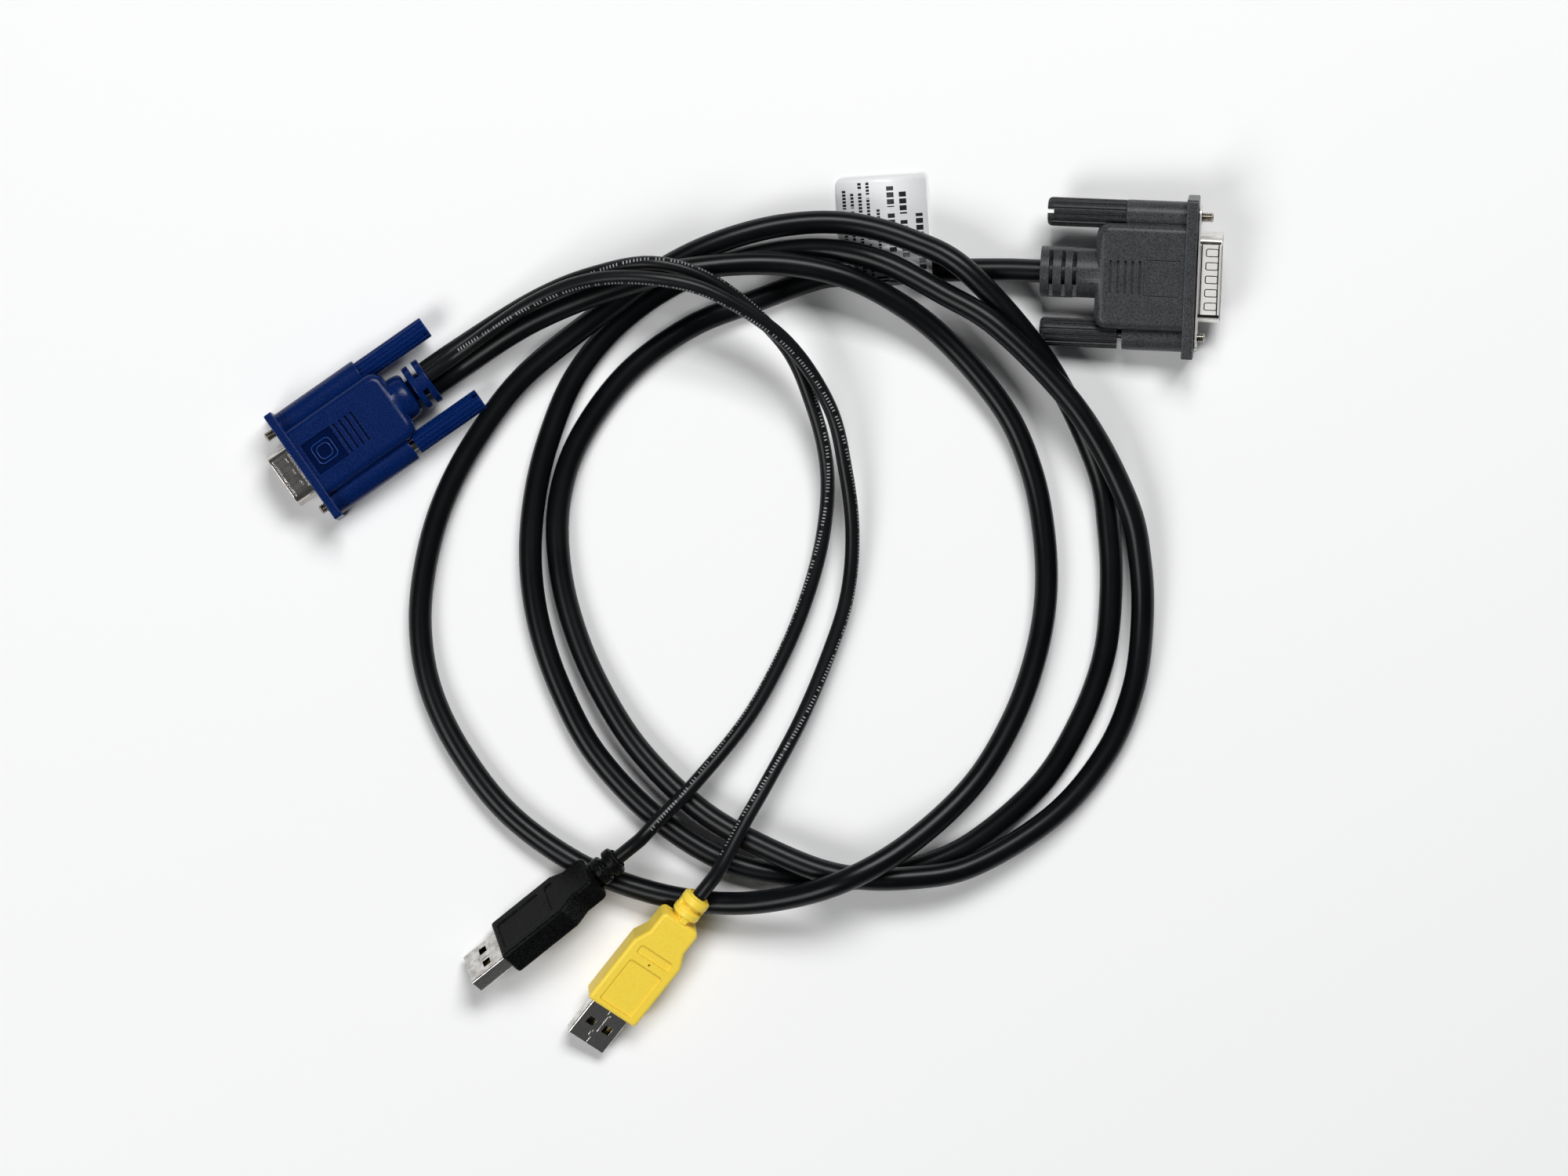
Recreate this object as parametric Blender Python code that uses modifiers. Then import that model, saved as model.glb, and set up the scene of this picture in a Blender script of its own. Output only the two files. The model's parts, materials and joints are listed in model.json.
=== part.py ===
# Computer switch cable: a DE-size D plug and two USB-A plugs on one side,
# a DA-size D plug on the other, joined by a thick cable that lies coiled on a table.
# Sizes are in metres. The table is the plane z = 0.
import math

import bmesh
import bpy
from mathutils import Matrix, Vector

for old in list(bpy.data.objects):
    bpy.data.objects.remove(old, do_unlink=True)

MM = 0.001

# Clearance between neighbouring pieces, and how far a cutter runs past what it cuts
FIT_GAP = 0.3 * MM
FINE_GAP = 0.1 * MM
OVERRUN = 1.0 * MM

# Brings the middle of the four plugs to x = y = 0
ORIGIN_SHIFT = Vector((-0.418 * MM, 0.229 * MM, 0.0))

# Metal front shell of both D plugs
SHELL_HEIGHT = 9.1 * MM
SHELL_WALL = 0.4 * MM
SHELL_REACH = 6.0 * MM
SHELL_SLANT = math.radians(10.0)
SHELL_CORNER = 2.6 * MM
PLATE_THICKNESS = 0.5 * MM
PLATE_HEIGHT = 12.5 * MM
PLATE_CORNER = 1.5 * MM
DIMPLE_PITCH = 3.7 * MM
DIMPLE_WIDTH = 2.3 * MM
DIMPLE_LENGTH = 3.1 * MM
DIMPLE_DEPTH = 0.2 * MM
DIMPLE_START = 1.5 * MM

# Insulator and contacts of both D plugs
INSULATOR_DEPTH = 5.0 * MM
INSULATOR_STEP = 0.9 * MM
CONTACT_DIAMETER = 0.8 * MM
CONTACT_PITCH = 2.29 * MM
CONTACT_ROW = 1.98 * MM
CONTACT_INSET = 0.9 * MM
CONTACT_TAIL = 4.0 * MM
CONTACT_PLATE = 0.8 * MM

# Thumbscrews: a metal shaft with a ribbed plastic knob
SHAFT_DIAMETER = 2.84 * MM
SHAFT_IN_KNOB = 8.0 * MM
SHAFT_POINT = 0.6 * MM
SHAFT_TIP_DIAMETER = 1.7 * MM
KNOB_RIBS = 14
POINTS_PER_RIB = 4
KNOB_RIB_DEPTH = 0.3 * MM
KNOB_END_ROUND = 0.8 * MM
KNOB_END_STEP = 0.25 * MM
KNOB_SLOT_WIDTH = 1.2 * MM
KNOB_SLOT_DEPTH = 1.8 * MM
KNOB_SWING = 0.5 * MM

# Blue DE plug. Screw a is on its -y side and screw b on its +y side: tip is how far the
# screw stands out of the flange, gap how far its knob stands back from the column. The
# metal plate runs past each screw by its plate end.
DE_PLUG = {
    "shell_width": 17.7 * MM,
    "screw_span": 24.99 * MM,
    "plate_end": 2.905 * MM,
    "flange_width": 34.6 * MM,
    "flange_height": 15.0 * MM,
    "flange_thickness": 2.4 * MM,
    "body_width": 21.3 * MM,
    "body_height": 13.4 * MM,
    "body_length": 30.6 * MM,
    "body_corner": 4.0 * MM,
    "column_diameter": 8.0 * MM,
    "column_length": 26.1 * MM,
    "knob_diameter": 6.2 * MM,
    "knob_length": 21.8 * MM,
    "relief_length": 10.3 * MM,
    "relief_diameter": 13.6 * MM,
    "dimple_count": 3,
    "tip_a": 3.1 * MM,
    "tip_b": 2.2 * MM,
    "gap_a": FIT_GAP,
    "gap_b": 1.4 * MM,
    "badge": 9.8 * MM,
    "groove_count": 4,
    "groove_pitch": 1.9 * MM,
}

# Charcoal DA plug
DA_PLUG = {
    "shell_width": 26.05 * MM,
    "screw_span": 33.32 * MM,
    "plate_end": 2.91 * MM,
    "flange_width": 44.0 * MM,
    "flange_height": 16.0 * MM,
    "flange_thickness": 3.2 * MM,
    "body_width": 29.1 * MM,
    "body_height": 13.8 * MM,
    "body_length": 24.4 * MM,
    "body_corner": 3.4 * MM,
    "column_diameter": 8.2 * MM,
    "column_length": 16.6 * MM,
    "knob_diameter": 8.0 * MM,
    "knob_length": 21.4 * MM,
    "relief_length": 15.2 * MM,
    "relief_diameter": 14.0 * MM,
    "dimple_count": 5,
    "tip_a": 3.0 * MM,
    "tip_b": 4.0 * MM,
    "gap_a": 1.4 * MM,
    "gap_b": FIT_GAP,
    "badge": 9.8 * MM,
    "groove_count": 5,
    "groove_pitch": 2.0 * MM,
}

# Hood details common to both D plugs
FLANGE_CORNER = 1.0 * MM
BODY_EDGE = 2.4 * MM
BADGE_DEPTH = 0.4 * MM
BADGE_LINE = 0.5 * MM
BADGE_INSET = 1.2 * MM
BADGE_RINGS = (6.6 * MM, 4.6 * MM)
BADGE_RING_CORNER = 1.5 * MM
GROOVE_WIDTH = 0.9 * MM
GROOVE_LENGTH = 9.4 * MM
GROOVE_DEPTH = 0.6 * MM
GROOVE_START = 0.7 * MM
RELIEF_GROOVE = 1.5 * MM
RELIEF_RING = 2.0 * MM
RELIEF_CORE = 10.6 * MM
RELIEF_DRAFT = 0.2 * MM
RELIEF_SLOT_DEPTH = 3.7 * MM
DOME_ROUND = 0.85 * MM
DOME_DROP = 1.4 * MM

# USB-A plugs
USB_SHELL_WIDTH = 12.0 * MM
USB_SHELL_HEIGHT = 4.5 * MM
USB_SHELL_WALL = 0.3 * MM
USB_SHELL_REACH = 11.7 * MM
USB_SHELL_SEAT = 5.0 * MM
USB_SHELL_CORNER = 0.5 * MM
USB_WINDOW = 2.4 * MM
USB_WINDOW_SPAN = 5.3 * MM
USB_WINDOW_BACK = 6.2 * MM
USB_TONGUE_HEIGHT = 1.84 * MM
USB_TONGUE_INSET = 0.5 * MM
USB_CONTACT_WIDTH = 1.0 * MM
USB_CONTACT_HEIGHT = 0.3 * MM
USB_CONTACT_LENGTH = 8.4 * MM
USB_CONTACT_INSET = 1.0 * MM
USB_CONTACT_OFFSETS = (-3.5 * MM, -1.0 * MM, 1.0 * MM, 3.5 * MM)
USB_BODY_LENGTH = 25.0 * MM
USB_BODY_WIDTH = 16.0 * MM
USB_BODY_HEIGHT = 8.0 * MM
USB_BODY_EDGE = 1.0 * MM
USB_REAR_LENGTH = 7.8 * MM
USB_REAR_WIDTH = 12.0 * MM
USB_REAR_HEIGHT = 7.0 * MM
USB_SHOULDER = 2.2 * MM
USB_PANEL_LENGTH = 14.6 * MM
USB_PANEL_WIDTH = 10.8 * MM
USB_PANEL_DEPTH = 0.3 * MM
USB_PANEL_FRONT = 1.8 * MM
USB_BAR_LENGTH = 2.9 * MM
USB_BAR_WIDTH = 10.8 * MM
USB_BAR_BACK = 6.3 * MM
USB_RELIEF_LENGTH = 8.0 * MM
USB_DISC_DIAMETER = 8.0 * MM
USB_DISC_LENGTH = 1.6 * MM
USB_NECK_DIAMETER = 5.6 * MM

# Cables
MAIN_DIAMETER = 6.4 * MM
USB_CABLE_DIAMETER = 4.0 * MM
MAIN_STATIONS = 84
USB_STATIONS = 30
MAIN_ROUNDNESS = 4
USB_ROUNDNESS = 3
LEAD_OUT = 8.0 * MM

# Flag label round the thick cable
LABEL_WIDTH = 25.0 * MM
LABEL_REACH = 27.0 * MM
LABEL_THICKNESS = 0.4 * MM
LABEL_LOOP = 7.8 * MM
LABEL_FLOOR = 0.5 * MM
LABEL_WRAP = (math.radians(40.0), math.radians(330.0))
LABEL_RUN_OUT = (4.0 * MM, 3.0 * MM)
LABEL_CENTRE = Vector((40.0 * MM, 97.1 * MM, 4.9 * MM))
LABEL_TURN = math.radians(3.6)

# How each plug lies: its place on the table, and its turn, pitch and roll in degrees
BLUE_PLACE = (-121.6 * MM, 42.7 * MM)
BLUE_ANGLES = (215.0, 0.8, 0.0)
BLACK_PLACE = (125.1 * MM, 95.3 * MM)
BLACK_ANGLES = (-2.7, 5.5, 10.0)
USB_BLACK_PLACE = (-65.4 * MM, -89.5 * MM)
USB_BLACK_ANGLES = (218.9, -10.8, 54.0)
USB_YELLOW_PLACE = (-36.3 * MM, -105.9 * MM)
USB_YELLOW_ANGLES = (231.75, -13.4, -16.0)

# Where the three cables leave the blue strain relief: sideways and upwards from its axis
BLUE_EXIT_MAIN = (2.2 * MM, -2.0 * MM)
BLUE_EXIT_USB_BLACK = (-3.3 * MM, 0.6 * MM)
BLUE_EXIT_USB_YELLOW = (-0.9 * MM, 4.6 * MM)

# Cable routes in millimetres, chosen by hand. Each starts after the straight lead-out
# of the blue strain relief and stops before the straight lead-in of its own plug.
MAIN_ROUTE = (
    (-59, 82.5, 11.2), (-38.5, 91, 15.8), (-19, 96.5, 17.4), (3, 99, 15.2), (21.5, 97.3, 14.2),
    (37.5, 91.5, 11.6), (55, 79.5, 7), (72, 60, 4.8), (80, 42.5, 4), (83.5, 25, 3.8),
    (84, 7.5, 4.2), (81, -9.5, 5), (74.5, -27, 6.6), (63.5, -44.5, 9.6), (46.5, -60, 14.4),
    (29, -70, 18.3), (11.5, -75.5, 13), (-6, -77, 9), (-25.5, -74, 6), (-45, -66.5, 4.4),
    (-64, -53, 3.7), (-77.5, -36, 3.6), (-86, -18.5, 3.4), (-89, -1, 3.4), (-87.5, 16.5, 3.6),
    (-82.5, 34, 3.8), (-73.5, 51, 4.6), (-60, 68.5, 6), (-39.5, 85, 9.2), (-22, 97.5, 10.2),
    (-6, 105.2, 10.6), (11.5, 109.8, 10), (29, 110.3, 10), (46.5, 105.6, 11.4), (62.5, 96.5, 13.2),
    (84, 72, 7.6), (98, 44, 4.4), (101.5, 25, 3.8), (102, 7.5, 3.4), (100, -9.5, 3.4),
    (93.5, -27, 3.4), (82.5, -44.5, 3.4), (64, -60.5, 3.4), (48, -67.5, 3.4), (31, -70.5, 3.4),
    (11.5, -69.5, 3.4), (-6, -65, 3.4), (-24.5, -53, 3.4), (-40.5, -36, 3.4), (-50, -18.5, 3.4),
    (-56, -1, 3.4), (-58.5, 16.5, 3.4), (-57.5, 34, 3.4), (-53.5, 51, 3.4), (-46, 68.5, 3.4),
    (-33.5, 83.5, 3.8), (-17.5, 94.5, 4.6), (1, 101, 6), (20.5, 103.2, 9.1), (37.5, 100, 12.8),
    (55, 91, 14), (71, 81, 15.2), (92.5, 58.5, 13), (106, 34, 9.2), (110, 16.5, 7),
    (110.5, -1, 5.4), (108, -18.5, 4.8), (100.5, -36, 4.8), (86, -53, 6.2), (64, -66.5, 8.8),
    (46.5, -70, 10.4), (28.5, -69.5, 10.6), (11.5, -64, 9), (-10, -52.5, 6.2), (-27.5, -36, 4.6),
    (-39, -18.5, 3.8), (-46.5, -1, 3.4), (-50.5, 16.5, 3.4), (-50.5, 34, 3.4), (-45, 51, 3.4),
    (-32, 69, 3.4), (-14.5, 82, 3.4), (3, 89, 3.6), (20.5, 95.3, 4.6), (30, 96.4, 4.8),
    (48, 97.6, 5), (60, 97.7, 5.8),
)
USB_BLACK_ROUTE = (
    (-58, 89, 15.8), (-40.5, 96, 19.4), (-23, 98.5, 23.2), (-6, 92.5, 20.4), (11.5, 77, 14),
    (19.5, 60, 10), (23.5, 42.5, 7), (22.5, 25, 5.2), (18, 7.5, 4.4), (11, -9.5, 5.2),
    (1, -27, 7.6), (-13.5, -44.5, 12.6), (-22, -53, 15.4),
)
USB_YELLOW_ROUTE = (
    (-58, 87.5, 20.6), (-40.5, 94, 23.8), (-22, 94, 26.2), (-6, 89.5, 24.8), (12, 77.5, 19.4),
    (24, 60, 13.4), (28.5, 42.5, 9.6), (30.5, 25, 7), (29, 7.5, 5.4), (23.5, -9.5, 5.6),
    (16, -27, 7.4), (6.5, -44.5, 11.6), (1, -54, 14.4),
)

# Number of sides of round pieces, and of steps in a rounded edge
FINE_SIDES = 24
SMALL_SIDES = 12
CONTACT_SIDES = 8
ROUND_SEGMENTS = 2
CORNER_SEGMENTS = 4
CROWN_SEGMENTS = 3
SMOOTH_ANGLE = math.radians(35.0)
CABLE_SMOOTH_ANGLE = math.radians(60.0)
MERGE_DISTANCE = 0.0001 * MM

parts = bpy.data.collections.new("switch_cable")
bpy.context.scene.collection.children.link(parts)
guides = bpy.data.collections.new("cutters")
bpy.context.scene.collection.children.link(guides)


def make_material(name, colour, roughness, metallic=0.0):
    material = bpy.data.materials.new(name)
    material.use_nodes = True
    shader = material.node_tree.nodes["Principled BSDF"]
    shader.inputs["Base Color"].default_value = (*colour, 1.0)
    shader.inputs["Roughness"].default_value = roughness
    shader.inputs["Metallic"].default_value = metallic
    return material


BLUE = ((0.010, 0.040, 0.190), 0.55)
CHARCOAL = ((0.022, 0.023, 0.025), 0.6)
JACKET = ((0.012, 0.014, 0.017), 0.42)
DARK_PLASTIC = ((0.015, 0.015, 0.016), 0.5)
YELLOW = ((0.90, 0.62, 0.06), 0.5)
WHITE_PLASTIC = ((0.80, 0.80, 0.78), 0.5)
NICKEL = ((0.62, 0.60, 0.56), 0.28, 1.0)
STEEL = ((0.50, 0.49, 0.46), 0.35, 1.0)
GOLD = ((0.83, 0.62, 0.24), 0.3, 1.0)
LABEL_WHITE = ((0.85, 0.86, 0.87), 0.35)


# Object helpers
def add_object(name, mesh, finish=None, parent=None):
    """A finish makes the object a part; without one it is a cutter or a guide."""
    item = bpy.data.objects.new(name, mesh)
    if finish is None:
        guides.objects.link(item)
        item.hide_render = True
        item.display_type = "WIRE"
    else:
        parts.objects.link(item)
        mesh.materials.clear()
        mesh.materials.append(make_material(name, *finish))
    item.parent = parent
    return item


def mesh_from(bm, name):
    mesh = bpy.data.meshes.new(name)
    bmesh.ops.recalc_face_normals(bm, faces=bm.faces)
    bm.to_mesh(mesh)
    bm.free()
    return mesh


def box_mesh(name, x_range, y_range, z_range, edge=0.0, along=""):
    """A box between two corners; edge rounds its edges that run along the named axis."""
    bm = bmesh.new()
    bmesh.ops.create_cube(bm, size=1.0)
    low = Vector((x_range[0], y_range[0], z_range[0]))
    high = Vector((x_range[1], y_range[1], z_range[1]))
    size = high - low
    for vertex in bm.verts:
        vertex.co = low + Vector((vertex.co[i] + 0.5) * size[i] for i in range(3))
    if along:
        axis = "xyz".index(along)
        edges = [e for e in bm.edges if abs(e.verts[1].co[axis] - e.verts[0].co[axis]) > FINE_GAP]
        bmesh.ops.bevel(bm, geom=edges, offset=edge, segments=ROUND_SEGMENTS, profile=0.5,
                        affect="EDGES")
    return mesh_from(bm, name)


def add_rods(bm, rods, sides):
    """Cylinders along x, each given as (x start, x end, y, z, radius)."""
    for x_start, x_end, y, z, radius in rods:
        place = Matrix.Translation(((x_start + x_end) / 2, y, z)) @ Matrix.Rotation(math.pi / 2, 4, "Y")
        bmesh.ops.create_cone(bm, cap_ends=True, segments=sides, radius1=radius, radius2=radius,
                              depth=abs(x_end - x_start), matrix=place)


def rod_mesh(name, rods, sides):
    bm = bmesh.new()
    add_rods(bm, rods, sides)
    return mesh_from(bm, name)


def outline_mesh(name, outline, x_start, x_end, holes=()):
    """A flat outline of (y, z) points, filled and extruded along x."""
    curve = bpy.data.curves.new(name, "CURVE")
    curve.dimensions = "2D"
    curve.fill_mode = "BOTH"
    curve.extrude = abs(x_end - x_start) / 2
    for loop in (outline, *holes):
        spline = curve.splines.new("POLY")
        spline.points.add(len(loop) - 1)
        for point, (across, up) in zip(spline.points, loop):
            point.co = (across, up, 0.0, 1.0)
        spline.use_cyclic_u = True
    placing = Matrix.Translation(((x_start + x_end) / 2, 0.0, 0.0)) @ YZ_PLANE
    return finished_mesh(bpy.data.objects.new(name, curve), name, placing)


# Turns a flat outline's own x, y, z into the part's y, z, x
YZ_PLANE = Matrix(((0, 0, 1, 0), (1, 0, 0, 0), (0, 1, 0, 0), (0, 0, 0, 1)))


def finished_mesh(holder, name, placing=None):
    """The closed mesh of a curve or of a mesh with modifiers, after which its holder goes."""
    guides.objects.link(holder)
    bpy.context.view_layer.update()
    depsgraph = bpy.context.evaluated_depsgraph_get()
    mesh = bpy.data.meshes.new_from_object(holder.evaluated_get(depsgraph))
    bm = bmesh.new()
    bm.from_mesh(mesh)
    bmesh.ops.remove_doubles(bm, verts=bm.verts, dist=MERGE_DISTANCE)
    if placing is not None:
        bmesh.ops.transform(bm, matrix=placing, verts=bm.verts)
    bpy.data.objects.remove(holder, do_unlink=True)
    bpy.data.meshes.remove(mesh)
    return mesh_from(bm, name)


def turned_mesh(name, profile, sides):
    """A closed solid turned about the x axis from (x, radius) points."""
    line = bmesh.new()
    ends = (profile[0][0], 0.0), (profile[-1][0], 0.0)
    verts = [line.verts.new((x, radius, 0.0)) for x, radius in (ends[0], *profile, ends[1])]
    for pair in zip(verts, verts[1:]):
        line.edges.new(pair)
    mesh = bpy.data.meshes.new(name)
    line.to_mesh(mesh)
    line.free()
    holder = bpy.data.objects.new(name, mesh)
    screw = holder.modifiers.new("turn", "SCREW")
    screw.axis = "X"
    screw.steps = sides
    screw.render_steps = sides
    screw.use_merge_vertices = True
    screw.merge_threshold = MERGE_DISTANCE
    return finished_mesh(holder, name)


def boolean(target, tool, operation):
    modifier = target.modifiers.new(operation.lower(), "BOOLEAN")
    modifier.operation = operation
    modifier.object = tool
    modifier.solver = "EXACT"


def cut(target, mesh):
    boolean(target, add_object(mesh.name, mesh, parent=target.parent), "DIFFERENCE")


def join(target, mesh):
    boolean(target, add_object(mesh.name, mesh, parent=target.parent), "UNION")


def shade_round(item, angle=SMOOTH_ANGLE):
    item.data.shade_smooth()
    item.data.set_sharp_from_angle(angle=angle)


# Outlines
def d_outline(width, height, corner):
    """The D shape of a shell, wide side down and narrow side up."""
    lean = math.tan(SHELL_SLANT) * height / 2
    corners = ((width / 2, -height / 2), (width / 2 - 2 * lean, height / 2),
               (-width / 2 + 2 * lean, height / 2), (-width / 2, -height / 2))
    points = []
    count = len(corners)
    for k in range(count):
        here = Vector(corners[k])
        before = (Vector(corners[k - 1]) - here).normalized()
        after = (Vector(corners[(k + 1) % count]) - here).normalized()
        half = before.angle(after) / 2
        reach = corner / math.tan(half)
        centre = here + (before + after).normalized() * corner / math.sin(half)
        start = here + before * reach - centre
        turn = math.pi - 2 * half
        for step in range(CORNER_SEGMENTS + 1):
            angle = turn * step / CORNER_SEGMENTS
            swung = Matrix.Rotation(angle, 2) @ start
            points.append(tuple(centre + swung))
    return points


def ribbed_outline(diameter):
    """A round outline with shallow lengthwise ribs."""
    points = []
    steps = KNOB_RIBS * POINTS_PER_RIB
    for k in range(steps):
        on_rib = k % POINTS_PER_RIB < POINTS_PER_RIB / 2
        radius = diameter / 2 if on_rib else diameter / 2 - KNOB_RIB_DEPTH
        angle = 2 * math.pi * k / steps
        points.append((radius * math.cos(angle), radius * math.sin(angle)))
    return points


# Placing
def add_carrier(name, place, angles):
    """An empty that turns, pitches and rolls a plug; settle() sets its height."""
    turn, pitch, roll = (math.radians(a) for a in angles)
    carrier = bpy.data.objects.new(name, None)
    guides.objects.link(carrier)
    carrier.matrix_world = (Matrix.Translation(Vector((*place, 0.0)) + ORIGIN_SHIFT)
                            @ Matrix.Rotation(turn, 4, "Z") @ Matrix.Rotation(-pitch, 4, "Y")
                            @ Matrix.Rotation(roll, 4, "X"))
    return carrier


def settle(carrier):
    """Lower a plug until its lowest corner meets the table, and return its place."""
    bpy.context.view_layer.update()
    depsgraph = bpy.context.evaluated_depsgraph_get()
    lowest = math.inf
    for item in carrier.children_recursive:
        if item.type == "MESH" and not item.hide_render:
            solid = item.evaluated_get(depsgraph)
            lowest = min(lowest, min((item.matrix_world @ v.co).z for v in solid.data.vertices))
    carrier.location.z -= lowest
    bpy.context.view_layer.update()
    return carrier.matrix_world.copy()


# D plug pieces. The plug's frame has x out of the front, y across and z up,
# with its origin in the middle of the flange's front face.
def relief_profile(sizes, style):
    """Profile of the strain relief, from inside the body to its free end."""
    body_end = -sizes["flange_thickness"] - sizes["body_length"]
    free_end = body_end - sizes["relief_length"]
    outer = sizes["relief_diameter"] / 2
    smooth = outer - RELIEF_DRAFT
    core = RELIEF_CORE / 2
    profile = [(body_end + BODY_EDGE, smooth)]
    if style == "dome":
        ring_front = free_end + 2 * RELIEF_RING + RELIEF_GROOVE
        dome_end = ring_front + RELIEF_GROOVE / 2
        profile += [(dome_end + DOME_ROUND, smooth), (dome_end, outer - DOME_DROP), (dome_end, core),
                    (ring_front, core), (ring_front, outer), (free_end, outer)]
        return profile
    x = free_end + 3 * (RELIEF_GROOVE + RELIEF_RING)
    profile.append((x, smooth))
    for _ in range(3):
        profile += [(x, core), (x - RELIEF_GROOVE, core), (x - RELIEF_GROOVE, outer)]
        x -= RELIEF_GROOVE + RELIEF_RING
        profile.append((x, outer))
    profile[-1] = (free_end, outer)
    return profile


def build_hood(name, sizes, finish, carrier, style):
    half_span = sizes["screw_span"] / 2
    body_end = -sizes["flange_thickness"] - sizes["body_length"]
    column_end = -sizes["flange_thickness"] - sizes["column_length"]
    flange_rear = -sizes["flange_thickness"]
    hood = add_object(name, box_mesh(
        name, (flange_rear, 0.0), (-sizes["flange_width"] / 2, sizes["flange_width"] / 2),
        (-sizes["flange_height"] / 2, sizes["flange_height"] / 2), FLANGE_CORNER, "x"), finish, carrier)

    # Middle body with rounded corners in plan and rounded top and bottom edges
    bm = bmesh.new()
    body = box_mesh(name + "_body", (body_end, flange_rear / 2),
                    (-sizes["body_width"] / 2, sizes["body_width"] / 2),
                    (-sizes["body_height"] / 2, sizes["body_height"] / 2))
    bm.from_mesh(body)
    rear_edges = [e for e in bm.edges if all(v.co.x < body_end / 2 for v in e.verts)
                  and abs(e.verts[0].co.y - e.verts[1].co.y) < FINE_GAP]
    bmesh.ops.bevel(bm, geom=rear_edges, offset=sizes["body_corner"], segments=CORNER_SEGMENTS,
                    profile=0.5, affect="EDGES")
    rim = [e for e in bm.edges if len(e.link_faces) == 2 and e.verts[0].co.z * e.verts[1].co.z > 0
           and abs(e.verts[0].co.z - e.verts[1].co.z) < FINE_GAP
           and abs(abs(e.verts[0].co.z) - sizes["body_height"] / 2) < FINE_GAP
           and not all(v.co.x > flange_rear for v in e.verts)]
    bmesh.ops.bevel(bm, geom=rim, offset=BODY_EDGE, segments=CROWN_SEGMENTS, profile=0.5,
                    affect="EDGES")
    join(hood, mesh_from(bm, name + "_body"))

    # Two screw columns
    for side, label in ((-1, "a"), (1, "b")):
        join(hood, rod_mesh(name + "_column_" + label, [(
            column_end, flange_rear / 2, side * half_span, 0.0, sizes["column_diameter"] / 2)],
            FINE_SIDES))

    # Strain relief
    join(hood, turned_mesh(name + "_relief", relief_profile(sizes, style), FINE_SIDES))
    if style == "dome":
        slot_rear = body_end - sizes["relief_length"] + RELIEF_RING
        slot_side = sizes["relief_diameter"] / 2
        for side in (-1, 1):
            slot_ends = side * (slot_side - RELIEF_SLOT_DEPTH), side * (slot_side + OVERRUN)
            cut(hood, box_mesh(name + "_slot", (slot_rear, slot_rear + RELIEF_GROOVE),
                               sorted(slot_ends),
                               (-sizes["relief_diameter"], sizes["relief_diameter"])))

    # Shaft holes, the turning room of the knobs, and the pocket of the shell and insulator
    for side, label in ((-1, "a"), (1, "b")):
        y = side * half_span
        room = sizes["knob_diameter"] / 2 + KNOB_SWING
        cut(hood, rod_mesh(name + "_room_" + label, [(
            body_end - OVERRUN, column_end, y, 0.0, room)], FINE_SIDES))
        cut(hood, rod_mesh(name + "_hole_" + label, [(
            column_end - OVERRUN, OVERRUN, y, 0.0, SHAFT_DIAMETER / 2 + FIT_GAP)], SMALL_SIDES))
    pocket = d_outline(sizes["shell_width"] - 2 * SHELL_WALL, SHELL_HEIGHT - 2 * SHELL_WALL,
                       SHELL_CORNER - SHELL_WALL)
    pocket_depth = INSULATOR_DEPTH + CONTACT_PLATE + 2 * FIT_GAP
    cut(hood, outline_mesh(name + "_pocket", pocket, -pocket_depth, OVERRUN))
    if style == "dome":
        sunk = PLATE_THICKNESS + FIT_GAP
        seat_end = half_span + sizes["plate_end"] + FIT_GAP
        cut(hood, box_mesh(name + "_seat", (-sunk, OVERRUN), (-seat_end, seat_end),
                           (-PLATE_HEIGHT / 2 - FIT_GAP, PLATE_HEIGHT / 2 + FIT_GAP)))

    # Badge and grooves on the top face
    top = sizes["body_height"] / 2
    badge_front = flange_rear - BADGE_INSET
    badge_rear = badge_front - sizes["badge"]
    half = sizes["badge"] / 2
    if style == "dome":
        cut(hood, box_mesh(name + "_badge", (badge_rear, badge_front), (-half, half),
                           (top - BADGE_DEPTH, top + OVERRUN)))
        middle = (badge_front + badge_rear) / 2
        for size, rise in zip(BADGE_RINGS, (BADGE_LINE / 2, BADGE_LINE)):
            join(hood, box_mesh(name + "_badge_raise", (middle - size / 2, middle + size / 2),
                                (-size / 2, size / 2),
                                (top - BADGE_DEPTH - OVERRUN, top - BADGE_DEPTH + rise),
                                BADGE_RING_CORNER, "z"))
    else:
        line = BADGE_LINE / 2
        for x_range, y_range in (((badge_rear - line, badge_front), (half - line, half + line)),
                                 ((badge_rear - line, badge_front), (-half - line, line - half)),
                                 ((badge_rear - line, badge_rear + line), (-half, half)),
                                 ((badge_front - line, badge_front + line), (-half, half))):
            cut(hood, box_mesh(name + "_badge_line", x_range, y_range,
                               (top - BADGE_DEPTH, top + OVERRUN)))
    for k in range(sizes["groove_count"]):
        front = badge_rear - GROOVE_START - k * sizes["groove_pitch"]
        cut(hood, box_mesh(name + "_groove", (front - GROOVE_WIDTH, front),
                           (-GROOVE_LENGTH / 2, GROOVE_LENGTH / 2),
                           (top - GROOVE_DEPTH, top + OVERRUN)))
    shade_round(hood)
    return hood


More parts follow.
